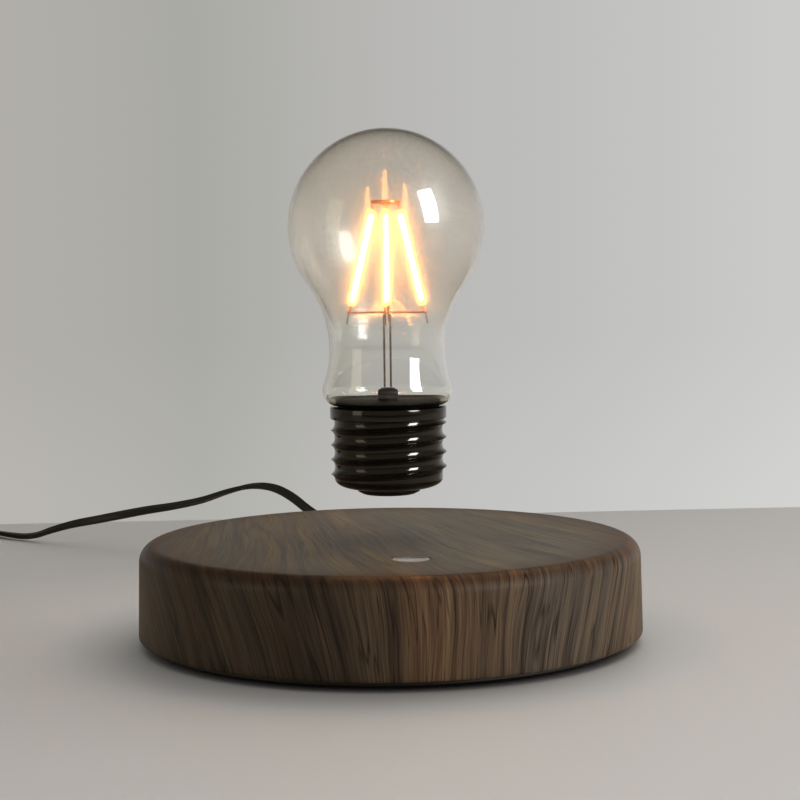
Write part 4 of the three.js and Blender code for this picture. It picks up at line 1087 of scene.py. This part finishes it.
class LAMP_OT_adaptor(bpy.types.Operator):
    """Makes the mains adaptor with its pins and bend relief, and the strap round the coil"""

    bl_idname = "lamp.adaptor"
    bl_label = "Adaptor and strap"

    def execute(self, context):
        low, high = adaptor_low, adaptor_high
        middle, half = (low + high) / 2, (high - low) / 2

        def slab(name, bottom, top, edge, inset):
            """A rounded slab whose outline is set in from the body's."""
            corner = 5 * MM
            rings = []
            for height, draw_in in (
                (bottom, edge), (bottom + edge * 0.3, edge * 0.3), (bottom + edge, 0),
                (top - edge, 0), (top - edge * 0.3, edge * 0.3), (top, edge),
            ):
                ring = rounded(middle, (half.x - inset, half.y - inset), corner, corner - draw_in, 6)
                rings.append([(x, y, height) for x, y in ring])
            return loft(name, rings)

        # Two moulded halves with a shadow line between them
        line, gap, edge = middle.z, 0.25 * MM, 2.4 * MM
        case = slab("adaptor_case", low.z, line - gap, edge, 0)
        upper = slab("upper_half", line + gap, high.z, edge, 0)
        core = slab("core", low.z + 2 * MM, high.z - 2 * MM, 1.0 * MM, 0.7 * MM)
        combine(case, [upper, core], "UNION")
        pins = [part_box(f"adaptor_pin_{i}") for i in (1, 2)]
        wells = []
        for start, end in pins:
            well = rod("well", 3.4 * MM, 0, 2 * MM, 32)
            wells.append(along_y(well, (start.x + end.x) / 2, low.y - 1.2 * MM, (start.z + end.z) / 2))
        combine(case, wells, "DIFFERENCE")
        seat(case, "base", "black_plastic", "adaptor_body", finish="moulded_black")

        for number, (start, end) in enumerate(pins, 1):
            run, radius = end.y - start.y, (end.x - start.x) / 2
            blunt = radius * 0.98
            metal = lathe("metal", [*arc((0, radius), blunt, -90, 0, 6), (blunt, run * 0.5), (0, run * 0.5)], 32)
            sleeve = rod("sleeve", radius, run * 0.5, run, 32)
            made = merge(f"mains_pin_{number}", [paint(metal, "nickel"), paint(sleeve, "moulded_black")])
            along_y(made, (start.x + end.x) / 2, start.y, (start.z + end.z) / 2)
            seat(made, "base", "brushed_metal", f"adaptor_pin_{number}")

        bend_relief("adaptor_relief", "adaptor_boot", 4.2 * MM, 2.6 * MM, 8)
        self.strap()
        return {"FINISHED"}

    @staticmethod
    def strap():
        """A hook-and-loop strap round the bundle."""
        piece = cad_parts["cord_tie"]
        centre = Matrix.Translation((-COIL_CENTRE[0] * MM, -COIL_CENTRE[1] * MM, 0))
        turn = Matrix.Rotation(math.radians(45), 4, "Z") @ centre
        points = np.array([turn @ v.co for v in piece.data.vertices])
        low, high = points.min(0), points.max(0)
        thick, width, corner = 1 * MM, high[1] - low[1], 2.6 * MM
        middle, half = (low + high)[[0, 2]] / 2, (high - low)[[0, 2]] / 2
        outer, inner = (
            rounded(middle, half - inset, corner, max(corner - inset * 0.2, 0.6 * MM), 5) for inset in (0, thick)
        )
        count = len(outer)
        vertices = [(x, side * width / 2, z) for side in (-1, 1) for ring in (outer, inner) for x, z in ring]
        faces = []
        a, b, c, d = (i * count for i in range(4))
        for k in range(count):
            n = (k + 1) % count
            faces += [
                (a + k, a + n, c + n, c + k), (b + k, d + k, d + n, b + n),
                (a + k, b + k, b + n, a + n), (c + k, c + n, d + n, d + k),
            ]
        made = move(outward(new_object("coil_strap", vertices, faces)), turn.inverted())
        bevel(made, 0.2 * MM, sharper=1.2)
        seat(made, "base", "black_plastic", "cord_tie", finish="strap", angle=40)


# Bulb sizes in millimetres that its pieces share
CAP = {
    "seat": 10.6, "cup": 54.2, "thread_top": 74.2, "collar": 19.4, "edge": 0.5, "valley": 18.05, "bore": 16.2,
    "hollow": 14.4, "shoulder": 65.3, "floor": 53.0,
}
THREAD = {"first_crest": 55.8, "first_angle": 186, "turns": 3.5, "fade": 0.2, "sharpness": 3.0}
GLASS = {
    "sphere": 32.5, "sphere_rise": 40, "waist": 19.3, "waist_rise": 19.1, "flare": 21.8, "lip_fillet": 5, "lip": 17.5,
}
FILAMENT = {"bottom": 112.0, "top": 143.2, "bottom_radius": 11.9, "top_radius": 4.45}
CROSS_HEIGHT = 109.7
# The front and back filaments are welded on a little out of square, by less than a millimetre
PAIR_TURN = math.radians(4)


class LAMP_OT_cap(bpy.types.Operator):
    """Makes the bulb's threaded cap and the button at its end"""

    bl_idname = "lamp.cap"
    bl_label = "Cap"

    def execute(self, context):
        sizes = context.scene.lamp_sizes
        low, high = cap_low.z / MM, cap_high.z / MM
        valley, cup = CAP["valley"], CAP["cup"]
        profile = [(0, low), (CAP["seat"] - 1, low)]
        for t in np.linspace(0, math.pi / 2, 14):
            profile.append((CAP["seat"] + (valley - CAP["seat"]) * math.sin(t), cup - (cup - low) * math.cos(t)))
        # Enough rows that the thread's crests and valleys come out round
        rows = 190
        profile += [(valley, cup + (CAP["thread_top"] - cup) * i / rows) for i in range(1, rows)]
        edge, collar = CAP["edge"], CAP["collar"]
        profile += arc((collar - edge, CAP["thread_top"] + edge), edge, -90, 0, 4)
        profile += [(collar, (CAP["thread_top"] + high) / 2)]
        profile += arc((collar - edge, high - edge), edge, 0, 90, 4)
        profile += [
            (CAP["bore"], high), (CAP["bore"], CAP["shoulder"]), (CAP["hollow"], CAP["shoulder"]),
            (CAP["hollow"], CAP["floor"]), (0, CAP["floor"]),
        ]
        cap = lathe("screw_cap", [(r * MM, z * MM) for r, z in profile], 168)
        run_tree(
            cap, thread_tree(), Pitch=sizes.thread_pitch, Depth=sizes.thread_depth,
            First_Crest=THREAD["first_crest"] * MM, First_Angle=math.radians(THREAD["first_angle"]),
            Turns=THREAD["turns"], Fade=THREAD["fade"], Sharpness=THREAD["sharpness"], Low=cup * MM,
            High=CAP["thread_top"] * MM, Least_Radius=(valley - 0.2) * MM, Finish=finishes["gloss_black"],
        )
        move(cap, Matrix.Rotation(BULB_TURN, 4, "Z"))
        seat(cap, "bulb", "gloss_black_plastic", "threaded_cap", angle=40)

        bottom, top = button_low.z, button_high.z
        radius = CAP["seat"] * MM - 0.2 * MM
        profile = [(0, bottom), (8.2 * MM, bottom)] + arc((8.2 * MM, bottom + 1.6 * MM), 1.6 * MM, -90, -50, 4)[1:]
        profile += [(radius - 0.15 * MM, bottom + 0.85 * MM), (radius, bottom + 1.05 * MM), (radius, top), (0, top)]
        button = lathe("cap_button", profile, 96)
        seat(button, "bulb", "gloss_black_plastic", "end_button", finish="gloss_black", angle=40)
        return {"FINISHED"}


class LAMP_OT_neck(bpy.types.Operator):
    """Makes the black disc and the stem inside the bulb's neck"""

    bl_idname = "lamp.neck"
    bl_label = "Neck"

    def execute(self, context):
        low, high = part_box("neck_disc")
        rim, edge = 17.2 * MM, 0.3 * MM
        profile = stepped((0, low.z, 0), (15.6, low.z, 0), (15.9, low.z, 0.3), (15.9, high.z, -0.6))
        profile += [(rim, high.z - 0.6 * MM)]
        profile += arc((rim - edge, high.z - edge), edge, 0, 90, 3) + [(0, high.z)]
        seat(lathe("neck_cover", profile, 96), "bulb", "black_plastic", "neck_disc", finish="satin_black")
        low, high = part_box("filament_stem")
        radius, edge = (high.x - low.x) / 2, 0.9 * MM
        profile = [(0, low.z), (radius, low.z), (radius, high.z - 1 * MM)]
        profile += arc((radius - edge, high.z - edge), edge, 0, 90, 5) + [(0, high.z)]
        stem = lathe("wire_stem", profile, 48)
        seat(stem, "bulb", "gloss_black_plastic", "filament_stem", finish="stem_black", angle=40)
        return {"FINISHED"}


def glass_wall(lip_height, inset):
    """One side of the glass: sphere, hollow waist, flare and turned-in lip, each arc touching the next."""
    sphere, waist, flare, lip = (GLASS[k] - inset for k in ("sphere", "waist", "flare", "lip_fillet"))
    rise = GLASS["sphere_rise"]
    waist_height = lip_height + GLASS["waist_rise"]
    centre = waist_height + rise
    waist_arc = (waist**2 + rise**2 - sphere**2) / (2 * (sphere - waist))
    waist_centre = waist + waist_arc
    to_sphere = math.degrees(math.atan2(rise, -waist_centre))
    sphere_end = math.degrees(math.atan2(-rise, waist_centre))
    flare_height = lip_height + GLASS["lip_fillet"]
    drop = waist_height - flare_height
    reach = waist_centre - flare
    flare_arc = (reach**2 + drop**2 - waist_arc**2) / (2 * (waist_arc - reach))
    flare_centre = flare - flare_arc
    to_flare = math.degrees(math.atan2(-drop, flare_centre - waist_centre))
    lip_centre = flare - lip
    lip_end = -math.degrees(math.acos((GLASS["lip"] - lip_centre) / lip))
    return [
        *arc((0, centre), sphere, 90, sphere_end, 56),
        *arc((waist_centre, waist_height), waist_arc, to_sphere, 360 + to_flare, 30)[1:],
        *arc((flare_centre, flare_height), flare_arc, 180 + to_flare, 0, 10)[1:],
        *arc((lip_centre, flare_height), lip, 0, lip_end, 12)[1:],
    ]


class LAMP_OT_glass(bpy.types.Operator):
    """Makes the bulb's clear glass"""

    bl_idname = "lamp.glass"
    bl_label = "Glass"

    def execute(self, context):
        lip_height = glass_low.z / MM
        wall = context.scene.lamp_sizes.glass_wall / MM
        profile = glass_wall(lip_height, 0) + glass_wall(lip_height, wall)[::-1]
        made = lathe("clear_bulb", [(max(r, 0) * MM, z * MM) for r, z in profile], 160)
        paint(made, "glass")
        # Black cement holds the lip in the cap
        made.data.materials.append(finishes["satin_black"])
        for face in made.data.polygons:
            if face.center.z < glass_low.z + 1.2 * MM:
                face.material_index = 1
        seat(made, "bulb", "clear_glass", "glass_envelope", angle=60)
        return {"FINISHED"}


class LAMP_OT_filaments(bpy.types.Operator):
    """Makes the filaments and the wires that hold them"""

    bl_idname = "lamp.filaments"
    bl_label = "Filaments"

    def execute(self, context):
        turned = Matrix.Rotation(BULB_TURN, 4, "Z")
        for name in ("left", "right"):
            low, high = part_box(f"support_wire_{name}")
            x, y = (low.x + high.x) / 2, (low.y + high.y) / 2
            wire = straight(f"support_{name}", (x, y, low.z), (x, y, high.z), 0.35 * MM)
            seat(wire, "bulb", "dark_wire", f"support_wire_{name}", finish="dark_wire", angle=50)
        slope = (FILAMENT["bottom_radius"] - FILAMENT["top_radius"]) / (FILAMENT["top"] - FILAMENT["bottom"])
        joint = FILAMENT["bottom_radius"] + slope * (FILAMENT["bottom"] - CROSS_HEIGHT)
        for side, name in ((-1, "left"), (1, "right")):
            bars = []
            for dx, dy in ((side, 0), (-side * math.sin(PAIR_TURN), side * math.cos(PAIR_TURN))):
                bars += self.arm(side, dx, dy, joint, slope)
            made = move(merge(f"cross_bar_{name}", bars), turned)
            seat(made, "bulb", "copper", f"cross_wire_{name}", angle=50)
        radius = context.scene.lamp_sizes.filament_width / 2
        for name, angle, aside in (
            ("right", 0, 0), ("back", 90, PAIR_TURN), ("left", 180, 0), ("front", 270, PAIR_TURN),
        ):
            made = move(self.filament(name, radius), turned @ Matrix.Rotation(math.radians(angle) + aside, 4, "Z"))
            seat(made, "bulb", "glowing_filament", f"filament_{name}", angle=50)
        seat(move(self.top_ring(), turned), "bulb", "copper", "filament_ring", angle=50)
        return {"FINISHED"}

    @staticmethod
    def arm(side, dx, dy, joint, slope):
        """One wire out to a filament, its weld, the lead up to the filament's end and the thin tail below."""

        def at(radius, height):
            return Vector((dx * radius, dy * radius, height)) * MM

        cross, top = CROSS_HEIGHT, FILAMENT["bottom"] - 0.3
        start = Vector((side * 1.05, 0, cross)) * MM
        way = smooth_way([start, at(4.2, cross + 0.05), at(8.5, cross - 0.06), at(joint + 1, cross)], 8)
        bar = sweep("bar", way, circle(0.38 * MM, 10))
        lead = straight("lead_up", at(joint, cross), at(joint - slope * (top - cross), top), 0.45 * MM, 10)
        weld = lathe("weld", [(0, -0.55 * MM), *arc((0, 0), 0.55 * MM, -60, 60, 5), (0, 0.55 * MM)], 14)
        move(weld, Matrix.Translation(at(joint, cross)))
        # Out and down from the weld
        drop = [at(joint + out, cross - down) for out, down in ((0.5, 0), (0.55, 1.3), (0.85, 2.6), (1, 3.9))]
        tail = sweep("tail", smooth_way(drop, 5), circle(0.24 * MM, 8))
        return [*(paint(piece, "copper_wire") for piece in (bar, lead, weld)), paint(tail, "dark_wire")]

    @staticmethod
    def filament(name, radius):
        """A strip of chips in its gel, leaning in towards the top."""
        low = Vector((FILAMENT["bottom_radius"], 0, FILAMENT["bottom"])) * MM
        high = Vector((FILAMENT["top_radius"], 0, FILAMENT["top"])) * MM
        # The row of chips takes up two thirds of the gel's width
        run, inner = (high - low).length, radius * 0.66
        turns = np.linspace(0.2, math.pi / 2, 6)
        skin = [(0, 0), *[(radius * math.sin(t), radius * (1 - math.cos(t)) * 0.8) for t in turns]]
        gel = lathe("gel", skin + [(r, run - z) for r, z in skin[::-1]], 20)
        core = lathe("core", [(0, 1.2 * MM), (inner, 1.6 * MM), (inner, run - 1.6 * MM), (0, run - 1.2 * MM)], 14)
        made = merge(f"led_filament_{name}", [paint(gel, "gel"), paint(core, "chips")])
        # A flat strip, wider outwards than along its circle
        move(made, Matrix.Diagonal((1.1, 0.72, 1, 1)))
        lean = Vector((0, 0, 1)).rotation_difference(high - low).to_matrix().to_4x4()
        return move(made, Matrix.Translation(low) @ lean)

    @staticmethod
    def top_ring():
        """The stamped ring that joins the filaments' upper ends, with a lead down to each."""
        low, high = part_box("filament_ring")
        top, bottom = high.z, high.z - 1.4 * MM
        steps = (4.05, bottom, 0), (4.85, bottom, 0), (4.95, bottom, 0.1), (4.95, top, -0.1)
        steps += (4.85, top, 0), (4.05, top, 0), (3.95, top, -0.1), (3.95, bottom, 0.1)
        parts = [lathe("ring", stepped(*steps), 64, ring=True)]
        for place in places_round(FILAMENT["top_radius"] * MM, 4):
            lead = straight("lead", (0, 0, low.z), (0, 0, top - 0.5 * MM), 0.4 * MM, 10)
            parts.append(move(lead, place))
        return merge("joining_ring", [paint(piece, "copper_wire") for piece in parts])


class LAMP_OT_works(bpy.types.Operator):
    """Gives the hidden works inside the base and the cap their finishes"""

    bl_idname = "lamp.works"
    bl_label = "Inner works"

    def execute(self, context):
        looks = {
            "moulded_black": ["module_plate"],
            "ferrite": ["ring_magnet"],
            "winding": [
                *(f"lift_coil_{i}" for i in range(1, 5)), "transmitter_coil", "receiver_coil", "contact_spring",
            ],
            "steel": [f"coil_core_{i}" for i in range(1, 5)],
            "board": ["hall_sensor_board", "touch_sensor_board", "control_board", "receiver_board"],
            "epoxy": ["driver_chip", "capacitor"],
            "nickel": ["lift_magnet"],
        }
        for finish, nodes in looks.items():
            for node in nodes:
                paint(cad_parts[node], finish)
        return {"FINISHED"}


class LAMP_OT_finishes(bpy.types.Operator):
    """Makes every finish from the chosen colours"""

    bl_idname = "lamp.finishes"
    bl_label = "Finishes"

    def execute(self, context):
        finishes.update(make_finishes(context.scene.lamp_colours))
        return {"FINISHED"}


class LAMP_OT_stage(bpy.types.Operator):
    """Sets the table, the room's light and the two windows"""

    bl_idname = "lamp.stage"
    bl_label = "Table and light"

    def execute(self, context):
        stage = context.scene.lamp_stage
        made, tree, shader = material("pale_table_top", stage.table, 0.55)
        node = partial(add, tree)
        # The painted top is a little cloudy. It is made paler towards the front right: painted light, standing in for
        # the light that falls more strongly there
        cloud = node("TexNoise", Vector=place_of(tree), Scale=3.0, Detail=2.0)
        paler = node("Math ADD", node("VectorMath DOT_PRODUCT", place_of(tree), from_view(0.9, -0.96, 0)), 1.0)
        clamped = node("Clamp", Value=paler, Min=0.75, Max=1.4)
        shade = node("Math MULTIPLY", node("MapRange", cloud, To_Min=0.97, To_Max=1.03), clamped)
        tinted = node("Mix", Factor=1.0, A=stage.table, B=shade, **TINT)
        # Gloss and glass meet a table that darkens towards the room, well in front of the camera
        ahead = node("VectorMath DOT_PRODUCT", place_of(tree), from_view(0, 1, 0))
        near = node("MapRange", ahead, -0.8, -0.3)
        kept = node("Mix", Factor=near, A=(0, 0, 0), B=(0.8, 0.72, 0.58), **COLOURS)
        mirrored = node("LightPath").outputs["Is Glossy Ray"]
        kept = node("Mix", Factor=mirrored, A=(1, 1, 1), B=kept, **COLOURS)
        feed(tree, shader, Base_Color=node("Mix", Factor=1.0, A=tinted, B=kept, **TINT))
        # The far edge runs aslant, as in the photograph
        corners = [from_view(x, y, 0) for x, y in ((-2.2, -2.2), (2.2, -2.2), (2.2, 0.45), (-2.2, 0.17))]
        thick = Vector((0, 0, 0.03))
        table = loft("table_top", [[v - thick for v in corners], corners])
        table.data.materials.append(made)

        world = bpy.data.worlds.new("room")
        context.scene.world = world
        world.use_nodes = True
        tree = world.node_tree
        tree.nodes.clear()
        node = partial(add, tree)
        way = node("TexCoord").outputs["Generated"]
        across, ahead, up = (
            node("VectorMath DOT_PRODUCT", way, towards)
            for towards in (from_view(1, 0, 0), from_view(0, 1, 0), (0, 0, 1))
        )
        # What the eye, metal and glass meet: the lit wall beyond the table, the dim room in front of it
        wall_stops = [
            (0.0, "#b2afa9"), (0.27, stage.wall_left), (0.5, "#b8b7b5"), (0.72, "#bfbfbe"), (1.0, stage.wall_right),
        ]
        wall = node("ValToRGB", node("MapRange", across, -0.21, 0.21), stops=wall_stops)
        # It pales a little down to the table
        wall = node("Mix", Factor=1.0, A=wall, B=node("MapRange", up, -0.04, -0.12, 1.0, 1.09), **TINT)
        above = node("Mix", Factor=node("MapRange", up, 0.14, 0.45), A=wall, B="#3a362a", **COLOURS)
        room = node("Mix", Factor=node("MapRange", ahead, 0.85, 0.2), A=above, B=stage.room, **COLOURS)
        # What lights matt surfaces: soft light from all round, more of it from above and behind the lamp
        strength = stage.fill_light
        for direction, low, high, weakest, strongest in (
            (up, -0.2, 1.0, 0.3, 1.62), (ahead, -1.0, 1.0, 0.6, 1.4), (across, -1.0, 1.0, 0.7, 1.3),
        ):
            strength = node("Math MULTIPLY", node("MapRange", direction, low, high, weakest, strongest), strength)
        shown = node("Background", Color="#f6f7f8", Strength=strength)
        path = node("LightPath").outputs
        for ray, tone in (("Is Glossy Ray", room), ("Is Transmission Ray", above), ("Is Camera Ray", wall)):
            shown = node("MixShader", path[ray], shown, node("Background", Color=tone, Strength=1.0))
        node("OutputWorld", Surface=shown)

        # The windows are there for gloss and glass, and the soft light for everything else. The bright
        # window is for the bulb alone: the table and what lies on it would glare white from behind
        grounded = [
            bpy.data.objects[name]
            for name in (
                "walnut_shell", "touch_button", "plug_grip", "plug_relief", "lead", "adaptor_relief", "adaptor_case",
            )
        ]
        right, left, behind = (1.2, -0.87, 0.69), (-1.2, -0.6, 0.4), (0.6, 1.05, 1.2)
        lights = (
            ("right_window", right, 0.52, 0.96, stage.window_light, "#fbfaf6", "EXCLUDE", [table, *grounded]),
            ("low_window", right, 0.52, 0.96, stage.low_light, "#fbfaf6", "INCLUDE", grounded),
            ("left_window", left, 0.5, 0.8, stage.side_light, "#fdf0cc", None, []),
            ("soft_light", behind, 1.6, 1.6, stage.soft_light, "#fbfbfa", None, []),
        )
        for name, place, width, height, radiance, code, choice, pieces in lights:
            made = self.window(name, from_view(*place), Vector((0, 0, 0.12)), width, height, radiance, code)
            made.visible_camera = False
            made.visible_diffuse = name == "soft_light"
            made.visible_glossy = made.visible_transmission = name != "soft_light"
            if choice:
                lit = bpy.data.collections.new(name + "_lights")
                for piece in pieces:
                    lit.objects.link(piece)
                for entry in lit.collection_objects:
                    entry.light_linking.link_state = choice
                made.light_linking.receiver_collection = lit
        context.scene.view_settings.view_transform = "Standard"
        return {"FINISHED"}

    @staticmethod
    def window(name, place, aim, width, height, radiance, code):
        """A soft rectangular light of a given radiance."""
        data = bpy.data.lights.new(name, "AREA")
        data.shape = "RECTANGLE"
        data.size, data.size_y = width, height
        data.energy = radiance * math.pi * width * height
        data.color = linear(code)
        made = linked(name, data)
        made.location = place
        made.rotation_euler = (aim - place).to_track_quat("-Z", "Y").to_euler()
        return made


STEPS = [
    LAMP_OT_finishes, LAMP_OT_camera, LAMP_OT_plug, LAMP_OT_adaptor, LAMP_OT_lead, LAMP_OT_socket, LAMP_OT_shell,
    LAMP_OT_underside, LAMP_OT_touch_disc, LAMP_OT_cap, LAMP_OT_neck, LAMP_OT_glass, LAMP_OT_filaments,
    LAMP_OT_works, LAMP_OT_stage,
]


class LAMP_PT_panel(bpy.types.Panel):
    """Lists the lamp's pieces, sizes and colours"""

    bl_idname = "LAMP_PT_panel"
    bl_label = "Levitating lamp"
    bl_space_type = "VIEW_3D"
    bl_region_type = "UI"
    bl_category = "Lamp"

    def draw(self, context):
        for group in (context.scene.lamp_sizes, context.scene.lamp_colours, context.scene.lamp_stage):
            box = self.layout.box()
            for name in group.__annotations__:
                box.prop(group, name)
        for step in STEPS:
            self.layout.operator(step.bl_idname)


CLASSES = [LampSizes, LampColours, StageSettings, *STEPS, LAMP_PT_panel]


def register():
    for each in CLASSES:
        bpy.utils.register_class(each)
    bpy.types.Scene.lamp_sizes = PointerProperty(type=LampSizes)
    bpy.types.Scene.lamp_colours = PointerProperty(type=LampColours)
    bpy.types.Scene.lamp_stage = PointerProperty(type=StageSettings)


def unregister():
    del bpy.types.Scene.lamp_stage, bpy.types.Scene.lamp_colours, bpy.types.Scene.lamp_sizes
    for each in reversed(CLASSES):
        bpy.utils.unregister_class(each)


def main():
    register()
    bpy.ops.lamp.finishes()
    bpy.ops.lamp.camera()
    bpy.ops.lamp.plug()
    bpy.ops.lamp.adaptor()
    bpy.ops.lamp.lead()
    bpy.ops.lamp.socket()
    bpy.ops.lamp.shell()
    bpy.ops.lamp.underside()
    bpy.ops.lamp.touch_disc()
    bpy.ops.lamp.cap()
    bpy.ops.lamp.neck()
    bpy.ops.lamp.glass()
    bpy.ops.lamp.filaments()
    bpy.ops.lamp.works()
    bpy.ops.lamp.stage()
    bpy.context.view_layer.update()


if __name__ == "__main__":
    main()
